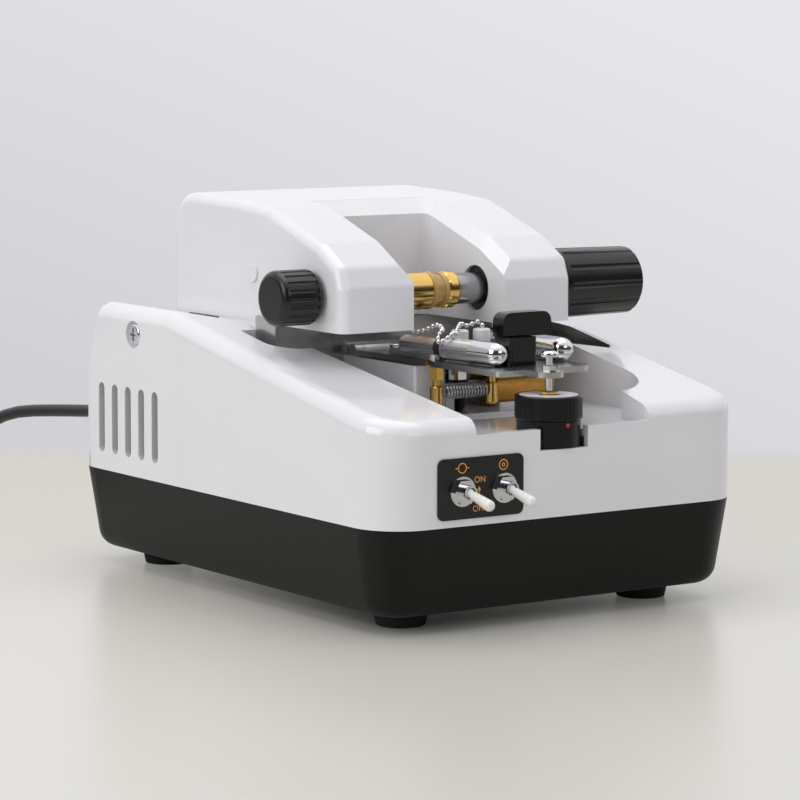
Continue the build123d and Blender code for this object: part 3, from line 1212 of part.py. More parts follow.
def make_motor_pinion():
    """The small gear on the lens motor's shaft, with a tooth space on the line to the large gear."""
    pinion = gear_x(PINION_TEETH, PINION_Y, PINION_SHAFT_D / 2, 180 + 180 / PINION_TEETH)
    return pinion + rod_x(PINION_SHAFT_D, GEAR_X - 1, GEARMOTOR_X + 6, PINION_Y, LENS_Z)


def make_lens_motor():
    """The gear motor that turns the lens, on a saddle in the left arm of the head."""
    end = GEARMOTOR_X + GEARMOTOR_L
    flange = GEARMOTOR_X + GEARMOTOR_FLANGE_L
    body = rod_x(GEARMOTOR_D, GEARMOTOR_X, flange, PINION_Y, LENS_Z)
    body += rod_x(GEARMOTOR_D - 2, flange, end, PINION_Y, LENS_Z)
    body += block(GEARMOTOR_X + 1, flange - 1, PINION_Y - 6, PINION_Y + 6, HEAD_BOTTOM_Z + BRACKET_T,
                  LENS_Z)
    bore = PINION_SHAFT_D + 2 * RUNNING_GAP
    return body - rod_x(bore, GEARMOTOR_X - 1, flange - 1.5, PINION_Y, LENS_Z)


def make_turning_knob():
    """The left hand knob: a fluted barrel with rounded ends."""
    x1 = -HEAD_HALF_W - KNOB_GAP
    x0 = x1 - LEFT_KNOB_L
    knob = fillet(rims(lens_rod(LEFT_KNOB_D, x0, x1)), 3.2)
    flute = at(0, LEFT_KNOB_D / 2 + 0.6, 0) * rod_x(2.4, x0 + 3, x1 - 3, 0, 0)
    axis = at(0, LENS_Y, LENS_Z)
    knob -= [axis * Rot(i * 360 / LEFT_KNOB_FLUTES, 0, 0) * flute for i in range(LEFT_KNOB_FLUTES)]
    return knob - lens_rod(SPINDLE_D, x0 + 6, x1 + 1)


def make_quill_sleeve():
    """The black bearing sleeve set back in the inner wall of the right arm."""
    x0 = THROAT_HALF_W + SLEEVE_IN
    x1 = x0 + SLEEVE_L
    return lens_rod(SLEEVE_D, x0, x1) - lens_rod(QUILL_D + 2 * RUNNING_GAP, x0 - 1, x1 + 1)


def make_quill():
    """The steel quill that slides in the right arm and carries the right chuck."""
    end = QUILL_X + QUILL_L
    quill = lens_rod(QUILL_D, QUILL_X, end)
    quill = chamfer(rims(quill), 0.8)
    quill -= lens_rod(STUB_D + 2 * RUNNING_GAP, QUILL_X - 1, QUILL_X + STUB_L + 1)
    return quill - lens_rod(CLAMP_SCREW_D + 2 * RUNNING_GAP, end - QUILL_SCREW_IN, end + 1)


def make_clamp_chuck():
    """The brass ring of the right chuck with the stub that turns in the quill."""
    back = QUILL_X - SEAT_GAP
    ring = lens_rod(CHUCK_D, LENS_X + PAD_GAP / 2 + RIGHT_PAD_T, back)
    ring = chamfer(rims(ring), 0.7)
    return ring + lens_rod(STUB_D, back - 1, QUILL_X + STUB_L)


def make_clamp_nut():
    """The brass nut in the outer wall of the right arm, which the clamp screw turns in."""
    x0 = HEAD_HALF_W - CLAMP_NUT_L
    return lens_rod(CLAMP_NUT_D, x0, HEAD_HALF_W) - lens_rod(CLAMP_SCREW_D + 2 * RUNNING_GAP, x0 - 1, CASE_W)


def make_clamp_screw():
    """The clamp screw, from the quill to the right knob."""
    start = QUILL_X + QUILL_L - QUILL_SCREW_IN + 1
    return lens_rod(CLAMP_SCREW_D, start, HEAD_HALF_W + KNOB_GAP + RIGHT_KNOB_L - 12)


def make_clamp_knob():
    """The large right knob: slightly tapered, with wide flutes and a chamfered end."""
    x0 = HEAD_HALF_W + KNOB_GAP
    x1 = x0 + RIGHT_KNOB_L
    middle = Location(((x0 + x1) / 2, LENS_Y, LENS_Z), (0, 90, 0))
    knob = middle * Cone(RIGHT_KNOB_D / 2, RIGHT_KNOB_END_D / 2, RIGHT_KNOB_L)
    knob = chamfer(rims(knob), 1.2)
    flute = rod_x(4.6, x0 + 5, x1 + 1, RIGHT_KNOB_D / 2 + 1.2, 0)
    axis = at(0, LENS_Y, LENS_Z)
    knob -= [axis * Rot(i * 360 / RIGHT_KNOB_FLUTES, 0, 0) * flute for i in range(RIGHT_KNOB_FLUTES)]
    return knob - lens_rod(CLAMP_SCREW_D, x0 - 1, x1 - 12)


# Supply parts inside the base

def make_transformer():
    """The mains transformer on the floor of the base: laminated core with its winding."""
    z0 = TUB_BOTTOM_Z + TUB_WALL
    core = at(0, CORE_Y, z0 + CORE_H / 2) * Box(CORE_W, CORE_D, CORE_H)
    window = (CORE_W * COIL_SHARE_W, CORE_H * COIL_SHARE_H)
    core -= at(0, CORE_Y, z0 + CORE_H / 2) * Box(window[0], 2 * CORE_D, window[1])
    return core + at(0, CORE_Y, z0 + CORE_H / 2) * Box(window[0], CORE_D + 10, window[1])


def make_circuit_board():
    """The supply board on four pillars, with its capacitors and regulator."""
    floor = TUB_BOTTOM_Z + TUB_WALL
    low = floor + BOARD_Z
    board = at(0, BOARD_Y, low + BOARD_T / 2) * Box(BOARD_W, BOARD_D, BOARD_T)
    for sx in (-1, 1):
        for sy in (-1, 1):
            board += rod_z(5, floor, low + 0.1, sx * (BOARD_W / 2 - 4), BOARD_Y + sy * (BOARD_D / 2 - 4))
    for x, y, d, h in CAPACITORS:
        board += rod_z(d, low + 1, low + BOARD_T + h, x, y)
    return board + block(14, 26, -20, -12, low + 1, low + 18)


# Cord

def along(start, onward):
    """A place at start whose Z axis points onward."""
    way = Vector(*onward) - Vector(*start)
    return Plane(origin=start, x_dir=(1, 0, 0), z_dir=way).location


def make_cord_gland():
    """The gland in the rear wall with its ribbed, tapering strain relief."""
    way = Vector(*CORD_ROUTE[0]) - Vector(CORD_X, rear_face_y(CORD_Z), CORD_Z)
    wall = (CORD_X, rear_face_y(CORD_Z), CORD_Z)
    neck = at(0, 0, -TOP_WALL) * Cylinder(GLAND_NECK_D / 2, 2 * TOP_WALL + 4)
    flange = at(0, 0, GLAND_T / 2) * Cylinder(GLAND_D / 2, 3 * GLAND_T)
    taper = way.length - GLAND_T
    relief = at(0, 0, GLAND_T + taper / 2) * Cone(GLAND_NECK_D / 2, RELIEF_END_D / 2, taper)
    ring_pitch = taper / (RELIEF_RIBS + 1)
    for i in range(RELIEF_RIBS):
        relief -= at(0, 0, GLAND_T + (i + 1) * ring_pitch) * Torus(GLAND_NECK_D / 2, 0.9)
    place = along(wall, CORD_ROUTE[0])
    body = place * (flange + relief) - top_body(0)
    return body + place * neck


def coil_place(turns):
    """The middle of the cord after a number of turns: in along the floor, then out over that layer."""
    outer = COIL_INNER_R + COIL_PITCH * COIL_LAYER_TURNS
    start = -math.atan(COIL_PITCH / (2 * math.pi * outer))
    angle = start + 2 * math.pi * turns
    r = COIL_INNER_R + COIL_PITCH * abs(turns - COIL_LAYER_TURNS)
    rise = min(max((turns - COIL_LAYER_TURNS) * 2 + 0.5, 0), 1)
    rise = rise * rise * (3 - 2 * rise)
    middle = Vector(COIL_ENTRY[0] - outer * math.cos(start), COIL_ENTRY[1] - outer * math.sin(start))
    return middle + Vector(r * math.cos(angle), r * math.sin(angle), COIL_ENTRY[2] + COIL_PITCH * rise)


def coil_exit():
    """Where the coil ends, and which way the cord goes on from there."""
    turns = 2 * COIL_LAYER_TURNS
    return coil_place(turns), (coil_place(turns) - coil_place(turns - 1e-4)).normalized()


def make_cord_coil():
    """The put-away length of cord: a neat round coil of two layers with a short straight end each way."""
    turns = 2 * COIL_LAYER_TURNS
    edges = winding(coil_place, turns)
    end, way = coil_exit()
    lead = Line(tuple(Vector(*COIL_ENTRY) - Vector(0, CORD_D, 0)), COIL_ENTRY).edge()
    edges = [lead] + edges + [Line(tuple(end), tuple(end + way * CORD_D)).edge()]
    print(f"cord coil: {turns} turns, least gap {least_gap(coil_place, turns, CORD_D):.2f} mm,"
          f" length {sum(e.length for e in edges):.0f} mm")
    return tube(edges, CORD_D)


def tail_points():
    """The route of the cord from the coil to its plug."""
    end, way = coil_exit()
    aside = Vector(way.Y, -way.X, 0)
    start = end + way * CORD_D
    return [start] + [start + aside * a + way * b + Vector(0, 0, c) for a, b, c in TAIL_ROUTE]


def make_cord_run(points, title):
    """A free stretch of cord: straight runs joined by tangent arcs as large as the runs allow."""
    points = [Vector(*p) for p in points]
    radii = []
    for a, b, c in zip(points, points[1:], points[2:]):
        turn = math.radians((b - a).get_angle(c - b))
        radii.append(0.45 * min((b - a).length, (c - b).length) / math.tan(turn / 2))
    line = FilletPolyline(*points, radius=radii)
    run = sweep(Plane(origin=line @ 0, z_dir=line % 0) * Circle(CORD_D / 2), path=line)
    volume = math.pi * CORD_D ** 2 / 4 * line.length
    print(f"{title}: length {line.length:.0f} mm, bend radii {', '.join(f'{r:.0f}' for r in radii)} mm,"
          f" volume {run.volume:.0f} of {volume:.0f}")
    return run


def make_plug():
    """The moulded plug: a rounded body with finger recesses, a taper to the cord and two flat blades."""
    points = tail_points()
    way = points[-1] - points[-2]
    back = Vector(points[-1].X, points[-1].Y, points[-1].Z)
    flat = Vector(way.X, way.Y, 0).normalized()
    body = extrude(RectangleRounded(PLUG_T, PLUG_W, PLUG_T * 0.32), amount=PLUG_L, taper=2)
    body = fillet(body.edges().group_by(Axis.Z)[-1], PLUG_EDGE_R)
    body = at(0, 0, PLUG_NECK_L) * body
    body += loft([Circle(CORD_D / 2 + 1.2), at(0, 0, PLUG_NECK_L) * Circle(PLUG_T * 0.42)])
    aside = PLUG_T / 2 + PLUG_RECESS_R - PLUG_RECESS_DEPTH
    for side in (-1, 1):
        body -= at(side * aside, 0, PLUG_NECK_L + PLUG_L * 0.4) * Rot(0, 0, 90) * Sphere(PLUG_RECESS_R)
        blade = Box(BLADE_W, BLADE_T, BLADE_L + 1)
        body += at(0, side * BLADE_APART / 2, PLUG_NECK_L + PLUG_L + (BLADE_L - 1) / 2) * blade
    return Plane(origin=back, x_dir=(0, 0, 1), z_dir=flat).location * body


PARTS = {
    "base_tub": make_base_tub(),
    "feet": make_feet(),
    "case_screws": make_case_screws(),
    "top_casing": make_top_casing(),
    "switch_plate": make_switch_plate(),
    "switch_bodies": make_switch_bodies(),
    "switch_nuts": make_switch_nuts(),
    "left_toggle": make_toggle(SWITCH_X[0]),
    "right_toggle": make_toggle(SWITCH_X[1]),
    "dial_base": make_dial_base(),
    "depth_dial": make_depth_dial(),
    "dial_face": make_dial_face(),
    "dial_pin": make_dial_pin(),
    "pedestal": make_pedestal(),
    "plate_hinge": make_plate_hinge(),
    "splash_guard": make_splash_guard(),
    "guide_plate": make_guide_plate(),
    "stop_screw": make_stop_screw(),
    "sponge_holder": make_sponge_holder(),
    "plate_fasteners": group([make_arm_pins(), make_stop_nut(), make_centre_standoff()]),
    "left_handle": make_left_handle(),
    "right_handle": make_right_handle(),
    "grip_ring": make_grip_ring(),
    "ball_chain": make_ball_chain(),
    "left_roller": make_roller(LEFT_ROLLER),
    "right_roller": make_roller(RIGHT_ROLLER),
    "left_spring_post": make_post(LEFT_POST),
    "right_spring_post": make_post(RIGHT_POST),
    "arm_spring": make_arm_spring(),
    "grooving_wheel": make_wheel(),
    "wheel_arbor": make_wheel_arbor(),
    "wheel_motor": make_wheel_motor(),
    "head_shell": make_head_shell(),
    "head_bracket": make_head_bracket(),
    "head_screws": make_head_screws(),
    "pivot_screws": make_pivot_screws(),
    "screw_cap": make_screw_cap(),
    "head_bushes": group([make_pivot_bushes(), make_drive_bushes()]),
    "drive_spindle": make_drive_spindle(),
    "drive_chuck": make_drive_chuck(),
    "drive_pad": make_pad(-1, LEFT_PAD_T, LEFT_PAD_D),
    "spindle_gear": make_spindle_gear(),
    "motor_pinion": make_motor_pinion(),
    "lens_motor": make_lens_motor(),
    "turning_knob": make_turning_knob(),
    "quill_sleeve": make_quill_sleeve(),
    "clamp_quill": make_quill(),
    "clamp_chuck": make_clamp_chuck(),
    "clamp_pad": make_pad(1, RIGHT_PAD_T, RIGHT_PAD_D),
    "clamp_nut": make_clamp_nut(),
    "clamp_screw": make_clamp_screw(),
    "clamp_knob": make_clamp_knob(),
    "transformer": make_transformer(),
    "circuit_board": make_circuit_board(),
    "cord_gland": make_cord_gland(),
    "mains_cord": make_cord_run(CORD_ROUTE, "cord from the case to the coil"),
    "cord_coil": make_cord_coil(),
    "cord_tail": make_cord_run(tail_points(), "cord from the coil to the plug"),
    "plug": make_plug(),
}

os.makedirs("parts", exist_ok=True)
for name, shape in PARTS.items():
    if not shape.solids() or not shape.is_valid or min(solid.volume for solid in shape.solids()) <= 0:
        print(f"{name}: not a closed solid")
    export_step(at(SHIFT_X, SHIFT_Y, 0) * shape, f"parts/{name}.step")
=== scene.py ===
import math
import bmesh
import bpy
from mathutils import Matrix, Vector


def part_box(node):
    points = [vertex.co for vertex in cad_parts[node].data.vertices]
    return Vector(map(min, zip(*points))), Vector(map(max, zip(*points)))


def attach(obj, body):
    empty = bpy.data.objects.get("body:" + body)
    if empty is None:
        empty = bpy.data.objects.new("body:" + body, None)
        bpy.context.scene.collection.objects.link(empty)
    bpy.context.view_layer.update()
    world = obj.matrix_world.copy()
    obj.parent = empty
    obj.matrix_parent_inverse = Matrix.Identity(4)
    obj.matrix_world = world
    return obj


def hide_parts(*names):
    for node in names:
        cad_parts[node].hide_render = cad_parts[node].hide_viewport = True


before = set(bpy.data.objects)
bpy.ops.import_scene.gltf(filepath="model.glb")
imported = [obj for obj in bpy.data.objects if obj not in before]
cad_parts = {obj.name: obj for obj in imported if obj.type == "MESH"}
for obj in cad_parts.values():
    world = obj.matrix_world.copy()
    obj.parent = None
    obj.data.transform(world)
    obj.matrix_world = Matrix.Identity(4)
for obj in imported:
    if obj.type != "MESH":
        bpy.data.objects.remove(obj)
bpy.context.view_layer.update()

# The base is a deep black tub, moulded in hard plastic with a fine grain on the outside.
# It carries the feet, the supply and the white top, which is screwed down on it from below.
BASE_BLACK = (13, 13, 12)
BASE_BLACK_SHADE = (10, 10, 9)


def paint(colour):
    """A colour as it shows on a screen, 0 to 255, as the linear value that a shader takes."""
    parts = [c / 255 for c in colour]
    return [p / 12.92 if p <= 0.04045 else ((p + 0.055) / 1.055) ** 2.4 for p in parts] + [1.0]


CLOUD_SCALE = 18.0
CLOUD_COLOUR_END = 0.35     # share of the cloud below which the colour is pure
CLOUD_SHADE_START = 0.7     # and above which it is all shade
BUMP_STRENGTH = 0.35


def finish(name, colour, shade, rough, rough_span=0.05, grain=700.0, depth=0.00001, stretch=(1, 1, 1),
           **sockets):
    """A solid finish: colour that drifts to a shade, and a grain in its gloss and in its skin."""
    material = bpy.data.materials.new(name)
    material.use_nodes = True
    nodes, links = material.node_tree.nodes, material.node_tree.links
    shader = nodes["Principled BSDF"]
    for socket, value in sockets.items():
        shader.inputs[socket.replace("_", " ")].default_value = value
    place = nodes.new("ShaderNodeTexCoord")
    run = nodes.new("ShaderNodeMapping")
    run.inputs["Scale"].default_value = stretch
    links.new(place.outputs["Object"], run.inputs["Vector"])
    cloud = nodes.new("ShaderNodeTexNoise")
    cloud.inputs["Scale"].default_value = CLOUD_SCALE
    tone = nodes.new("ShaderNodeValToRGB")
    tone.color_ramp.elements[0].position = CLOUD_COLOUR_END
    tone.color_ramp.elements[0].color = paint(colour)
    tone.color_ramp.elements[1].position = CLOUD_SHADE_START
    tone.color_ramp.elements[1].color = paint(shade)
    links.new(place.outputs["Object"], cloud.inputs["Vector"])
    links.new(cloud.outputs["Fac"], tone.inputs["Fac"])
    links.new(tone.outputs["Color"], shader.inputs["Base Color"])
    skin = nodes.new("ShaderNodeTexNoise")
    skin.inputs["Scale"].default_value = grain
    links.new(run.outputs["Vector"], skin.inputs["Vector"])
    gloss = nodes.new("ShaderNodeMapRange")
    gloss.inputs["To Min"].default_value = rough - rough_span / 2
    gloss.inputs["To Max"].default_value = rough + rough_span / 2
    links.new(skin.outputs["Fac"], gloss.inputs["Value"])
    links.new(gloss.outputs["Result"], shader.inputs["Roughness"])
    bump = nodes.new("ShaderNodeBump")
    bump.inputs["Strength"].default_value = BUMP_STRENGTH
    bump.inputs["Distance"].default_value = depth
    links.new(skin.outputs["Fac"], bump.inputs["Height"])
    links.new(bump.outputs["Normal"], shader.inputs["Normal"])
    return material


def dress(material, slot, *names):
    """Gives CAD nodes their finish. The slot that it is given is not used."""
    for name in names:
        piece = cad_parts[name]
        if not piece.material_slots:
            piece.data.materials.append(material)
        for place in piece.material_slots:
            place.material = material


# The knurl, the cord and the camera are placed from the middle of the head, measured from the left front
# corner of the base.
HEAD_MIDDLE_FROM_LEFT = 0.095
HEAD_MIDDLE_FROM_FRONT = 0.129
tub_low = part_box("base_tub")[0]
case_x = tub_low.x + HEAD_MIDDLE_FROM_LEFT
case_y = tub_low.y + HEAD_MIDDLE_FROM_FRONT
base_grain = finish("base grain", BASE_BLACK, BASE_BLACK_SHADE, 0.4, grain=2600.0, depth=0.00004,
                    Specular_IOR_Level=0.22)
dress(base_grain, "base_black", "base_tub")

# The feet are turned rubber pads, pressed into the underside of the base.
# They carry the machine on the table.
foot_rubber = finish("foot rubber", (26, 26, 26), (18, 18, 18), 0.75, grain=1500.0, depth=0.00005)
dress(foot_rubber, "rubber_black", "feet")

# Plated steel screws hold the white top to the base from below, and the bottom plate in the head.
screw_steel = finish("screw steel", (176, 176, 178), (150, 150, 153), 0.28, grain=900.0, Metallic=1.0)
dress(screw_steel, "steel", "case_screws", "head_screws")

# The top casing is one white moulding with a smooth, wet-looking gloss.
# Two cheeks rise to the rear beside a trough, and a notch in the low front wall holds the depth dial.
casing_white = finish("casing white", (232, 231, 234), (228, 227, 231), 0.12, 0.03, grain=240.0,
                      depth=0.000004, Coat_Weight=0.3, Coat_Roughness=0.04)
dress(casing_white, "case_white", "top_casing", "head_shell", "pedestal", "screw_cap")

# Two shoulder screws in round recesses carry the head. Their heads are chromed, with a cross slot.
bright_chrome = finish("bright chrome", (226, 226, 228), (214, 214, 217), 0.06, 0.03, grain=500.0,
                       depth=0.000003, Metallic=1.0)
dress(bright_chrome, "chrome", "pivot_screws")

# The switches are two small toggles with chromed bushings, nuts and washers, and white capped levers.
# A black plate lies between them and the casing, with their marks printed in orange yellow.
plate_black = finish("plate black", (18, 18, 19), (14, 14, 15), 0.3, grain=1200.0)
dress(plate_black, "black_gloss", "switch_plate")
dress(bright_chrome, "chrome", "switch_bodies", "switch_nuts")
lever_cap = finish("lever cap", (235, 234, 230), (228, 227, 222), 0.3, grain=900.0, Subsurface_Weight=0.05)
dress(lever_cap, "lever_white", "left_toggle", "right_toggle")

# The depth dial is a black moulded wheel on a fixed drum. A printed disc is let into its top,
# round the brass pin that it lifts.
dial_black = finish("dial black", (8, 8, 9), (6, 6, 7), 0.24, grain=1400.0, depth=0.00001,
                    Specular_IOR_Level=0.35)
dress(dial_black, "black_gloss", "dial_base", "depth_dial")
scale_film = finish("scale film", (224, 221, 232), (219, 216, 228), 0.35, grain=600.0)
dress(scale_film, "scale_white", "dial_face")
turned_brass = finish("turned brass", (244, 205, 122), (230, 182, 92), 0.14, 0.08, grain=700.0, depth=0.00001,
                      stretch=(6, 1, 1), Metallic=1.0)
dress(turned_brass, "brass", "dial_pin")

# The index on the drum is a small red diamond, and the disc carries a red scale with plain numbers.
# Prints are drawn in millimetres, and the places of whole prints are in metres.
RED_INK = finish("red ink", (198, 44, 52), (184, 34, 44), 0.5, grain=900.0)
ORANGE_INK = finish("orange ink", (238, 166, 66), (228, 152, 52), 0.5, grain=900.0)
INK_LIFT = 0.00004


def flat_place(spot, across, up):
    """The place of a print on a flat face, from its middle and the two ways along the face."""
    across, up = Vector(across).normalized(), Vector(up).normalized()
    out = across.cross(up)
    turned = Matrix((across, up, out)).transposed().to_4x4()
    return Matrix.Translation(Vector(spot) + out * INK_LIFT) @ turned


def printed(name, outlines, place, body, ink):
    """A print made of closed outlines, in millimetres of the face."""
    sheet = bmesh.new()
    for outline in outlines:
        sheet.faces.new([sheet.verts.new(place @ Vector((x / 1000, y / 1000, 0))) for x, y in outline])
    mesh = bpy.data.meshes.new(name)
    sheet.to_mesh(mesh)
    sheet.free()
    mesh.materials.append(ink)
    piece = bpy.data.objects.new(name, mesh)
    bpy.context.collection.objects.link(piece)
    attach(piece, body)


def lettered(name, words, height, place, body, ink):
    """Plain characters, printed on a face."""
    text = bpy.data.curves.new(name, "FONT")
    text.body = words
    text.size = height
    text.align_x = "CENTER"
    text.align_y = "CENTER"
    writer = bpy.data.objects.new(name + "_line", text)
    bpy.context.collection.objects.link(writer)
    shaped = writer.evaluated_get(bpy.context.evaluated_depsgraph_get())
    mesh = bpy.data.meshes.new_from_object(shaped)
    bpy.data.objects.remove(writer)
    mesh.transform(place)
    mesh.materials.clear()
    mesh.materials.append(ink)
    piece = bpy.data.objects.new(name, mesh)
    bpy.context.collection.objects.link(piece)
    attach(piece, body)


RING_STEPS = 28


def ring_outlines(x, y, radius, width):
    """The outlines of a thin ring, as short four-sided fields."""
    fields = []
    for i in range(RING_STEPS):
        a, b = 2 * math.pi * i / RING_STEPS, 2 * math.pi * (i + 1) / RING_STEPS
        fields.append([(x + r * math.cos(t), y + r * math.sin(t))
                       for r, t in ((radius, a), (radius, b), (radius - width, b), (radius - width, a))])
    return fields


disc_low, disc_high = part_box("dial_face")
disc_spot = Vector(((disc_low.x + disc_high.x) / 2, (disc_low.y + disc_high.y) / 2, disc_high.z))
SCALE_START = -90           # degrees, and the index stands there
SCALE_SWEEP = 300
SCALE_TICKS = 30
TICKS_A_NUMBER = 5          # ticks from one long one to the next
LONG_TICK = (10.2, 0.16)    # inner radius and half width
SHORT_TICK = (11.2, 0.1)
TICK_OUTER_R = 12.4
NUMBERS = 6
NUMBER_STEP = 60            # degrees from one number to the next
NUMBER_R = 0.0078
NUMBER_HEIGHT = 0.0028
INDEX_FORWARD = 0.01418     # from the axis of the dial to the front of the drum
INDEX_Z = 0.087
INDEX_HALF = 1.2
ticks = []
for i in range(SCALE_TICKS + 1):
    angle = math.radians(SCALE_START + SCALE_SWEEP * i / SCALE_TICKS)
    inner, half = LONG_TICK if i % TICKS_A_NUMBER == 0 else SHORT_TICK
    way = Vector((math.cos(angle), math.sin(angle)))
    side = Vector((-math.sin(angle), math.cos(angle)))
    corners = ((inner, half), (inner, -half), (TICK_OUTER_R, -half), (TICK_OUTER_R, half))
    ticks.append([tuple(way * r + side * s) for r, s in corners])
dial_place = flat_place(disc_spot, (1, 0, 0), (0, 1, 0))
printed("dial_scale", ticks, dial_place, "dial", RED_INK)
for i in range(NUMBERS):
    angle = math.radians(SCALE_START + NUMBER_STEP * i)
    outward = Vector((math.cos(angle), math.sin(angle), 0))
    number_place = flat_place(disc_spot + outward * NUMBER_R, (-outward.y, outward.x, 0), -outward)
    lettered(f"dial_number_{i}", str(i), NUMBER_HEIGHT, number_place, "dial", RED_INK)
index_place = flat_place((disc_spot.x, disc_spot.y - INDEX_FORWARD, INDEX_Z), (1, 0, 0), (0, 0, 1))
diamond = [(0, INDEX_HALF), (-INDEX_HALF, 0), (0, -INDEX_HALF), (INDEX_HALF, 0)]
printed("dial_index", [diamond], index_place, "case", RED_INK)

# The plate of the switches is printed with a ring between two dashes on the left, a ring in a ring on
# the right, and ON and OFF with an arrow between them.
LENS_MARK = (-10.0, 8.9)
LENS_MARK_R = 2.3
WHEEL_MARK = (11.7, 8.9)
WHEEL_MARK_R = 2.4
WHEEL_MARK_INNER_R = 0.9
MARK_LINE = 0.45
MARK_INNER_LINE = 0.4
DASH_END = 3.6              # from the middle of the ring
DASH_HALF = 0.2
WORD_HEIGHT = 0.0038
ON_PLACE = (-0.0007, 0.0033, 0)
OFF_PLACE = (-0.0012, -0.0092, 0)
label_low, label_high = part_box("switch_plate")
label_mid = Vector(((label_low.x + label_high.x) / 2, label_low.y, (label_low.z + label_high.z) / 2))
label_place = flat_place(label_mid, (1, 0, 0), (0, 0, 1))
lens_mark = ring_outlines(*LENS_MARK, LENS_MARK_R, MARK_LINE)
for start, end in ((-DASH_END, -LENS_MARK_R), (LENS_MARK_R, DASH_END)):
    corners = ((start, DASH_HALF), (end, DASH_HALF), (end, -DASH_HALF), (start, -DASH_HALF))
    lens_mark.append([(LENS_MARK[0] + x, LENS_MARK[1] + y) for x, y in corners])
wheel_mark = ring_outlines(*WHEEL_MARK, WHEEL_MARK_R, MARK_LINE)
wheel_mark += ring_outlines(*WHEEL_MARK, WHEEL_MARK_INNER_R, MARK_INNER_LINE)
arrow = [[(-1.3, -6.6), (-0.9, -6.6), (-0.9, -1.2), (-1.3, -1.2)],
         [(-2.1, -1.4), (-0.1, -1.4), (-1.1, 0.6)]]
printed("switch_marks", lens_mark + wheel_mark + arrow, label_place, "case", ORANGE_INK)
lettered("switch_on", "ON", WORD_HEIGHT, label_place @ Matrix.Translation(ON_PLACE), "case",
         ORANGE_INK)
lettered("switch_off", "OFF", WORD_HEIGHT, label_place @ Matrix.Translation(OFF_PLACE), "case",
         ORANGE_INK)

# The splash guard is a thin band of bright sheet steel, bent round the back of the working space.
# The guide plate's hinge is plain steel.
guard_steel = finish("guard steel", (196, 195, 193), (172, 171, 169), 0.2, 0.12, grain=160.0, depth=0.00001,
                     stretch=(1, 1, 14), Metallic=1.0)
dress(guard_steel, "steel", "splash_guard", "plate_hinge")

# The guide plate is polished steel. The stop screw at its front, its nut, the arm pins and the standoff
# are chromed.
plate_steel = finish("plate steel", (206, 206, 202), (186, 186, 182), 0.24, 0.1, grain=220.0, depth=0.00001,
                     stretch=(8, 1, 1), Metallic=1.0)
dress(plate_steel, "chrome", "guide_plate")
dress(bright_chrome, "chrome", "stop_screw", "plate_fasteners")

# The sponge holder is a black gloss moulding that stands on the guide plate.
holder_black = finish("holder black", (13, 13, 14), (9, 9, 10), 0.1, 0.04, grain=500.0, depth=0.000004)
dress(holder_black, "black_gloss", "sponge_holder")

# The guide arms have polished handles, a black rubber ring, nylon rollers and brass spring posts.
# A chromed ball chain lies over the left handle and beside the rollers.
dress(bright_chrome, "chrome", "right_handle", "ball_chain")
# The left handle is knurled from its rear end to halfway between the ring and its front end, and smooth
# from there.
KNURL_PITCH = 0.0009
KNURL_END_Y = -0.077
knurled_chrome = finish("knurled chrome", (226, 226, 228), (214, 214, 217), 0.1, 0.03, grain=500.0,
                        depth=0.00016, Metallic=1.0)
nodes, links = knurled_chrome.node_tree.nodes, knurled_chrome.node_tree.links
heights = []
for lean in (1, -1):
    run = nodes.new("ShaderNodeVectorMath")
    run.operation = "DOT_PRODUCT"
    run.inputs[1].default_value = (0, math.pi / KNURL_PITCH, lean * math.pi / KNURL_PITCH)
    links.new(nodes["Texture Coordinate"].outputs["Object"], run.inputs[0])
    wave = nodes.new("ShaderNodeMath")
    wave.operation = "SINE"
    links.new(run.outputs["Value"], wave.inputs[0])
    heights.append(wave)
diamonds = nodes.new("ShaderNodeMath")
diamonds.operation = "MULTIPLY"
links.new(heights[0].outputs["Value"], diamonds.inputs[0])
links.new(heights[1].outputs["Value"], diamonds.inputs[1])
along = nodes.new("ShaderNodeSeparateXYZ")
links.new(nodes["Texture Coordinate"].outputs["Object"], along.inputs["Vector"])
knurl_share = nodes.new("ShaderNodeMath")
knurl_share.operation = "GREATER_THAN"
knurl_share.inputs[1].default_value = case_y + KNURL_END_Y
links.new(along.outputs["Y"], knurl_share.inputs[0])
knurl = nodes.new("ShaderNodeMath")
knurl.operation = "MULTIPLY"
links.new(diamonds.outputs["Value"], knurl.inputs[0])
links.new(knurl_share.outputs["Value"], knurl.inputs[1])
links.new(knurl.outputs["Value"], nodes["Bump"].inputs["Height"])
dress(knurled_chrome, "chrome", "left_handle")
dress(foot_rubber, "rubber_black", "grip_ring")
nylon = finish("nylon", (236, 238, 240), (228, 231, 235), 0.45, grain=900.0, Subsurface_Weight=0.1)
dress(nylon, "nylon_white", "left_roller", "right_roller")
dress(turned_brass, "brass", "left_spring_post", "right_spring_post")

# The arm spring is wound of bright wire, with gaps between its turns. Half a turn at each end is drawn
# out to its post.
spring_low, spring_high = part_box("arm_spring")
SPRING_WIRE = 0.0008
SPRING_TURNS = 13
SPRING_POINTS_A_TURN = 16
SPRING_END_TURNS = 0.5
SPRING_END_L = 0.0012           # length of a drawn out end
SPRING_END_R = 0.0012           # and its radius at the post
WIRE_CURVE_ORDER = 3
WIRE_SMOOTHNESS = 4
spring_axis = (spring_low + spring_high) / 2
spring_radius = (spring_high.z - spring_low.z - SPRING_WIRE) / 2
spring_left = spring_low.x + SPRING_WIRE / 2
spring_length = spring_high.x - spring_low.x - SPRING_WIRE
spring_pitch = (spring_length - 2 * SPRING_END_L) / SPRING_TURNS


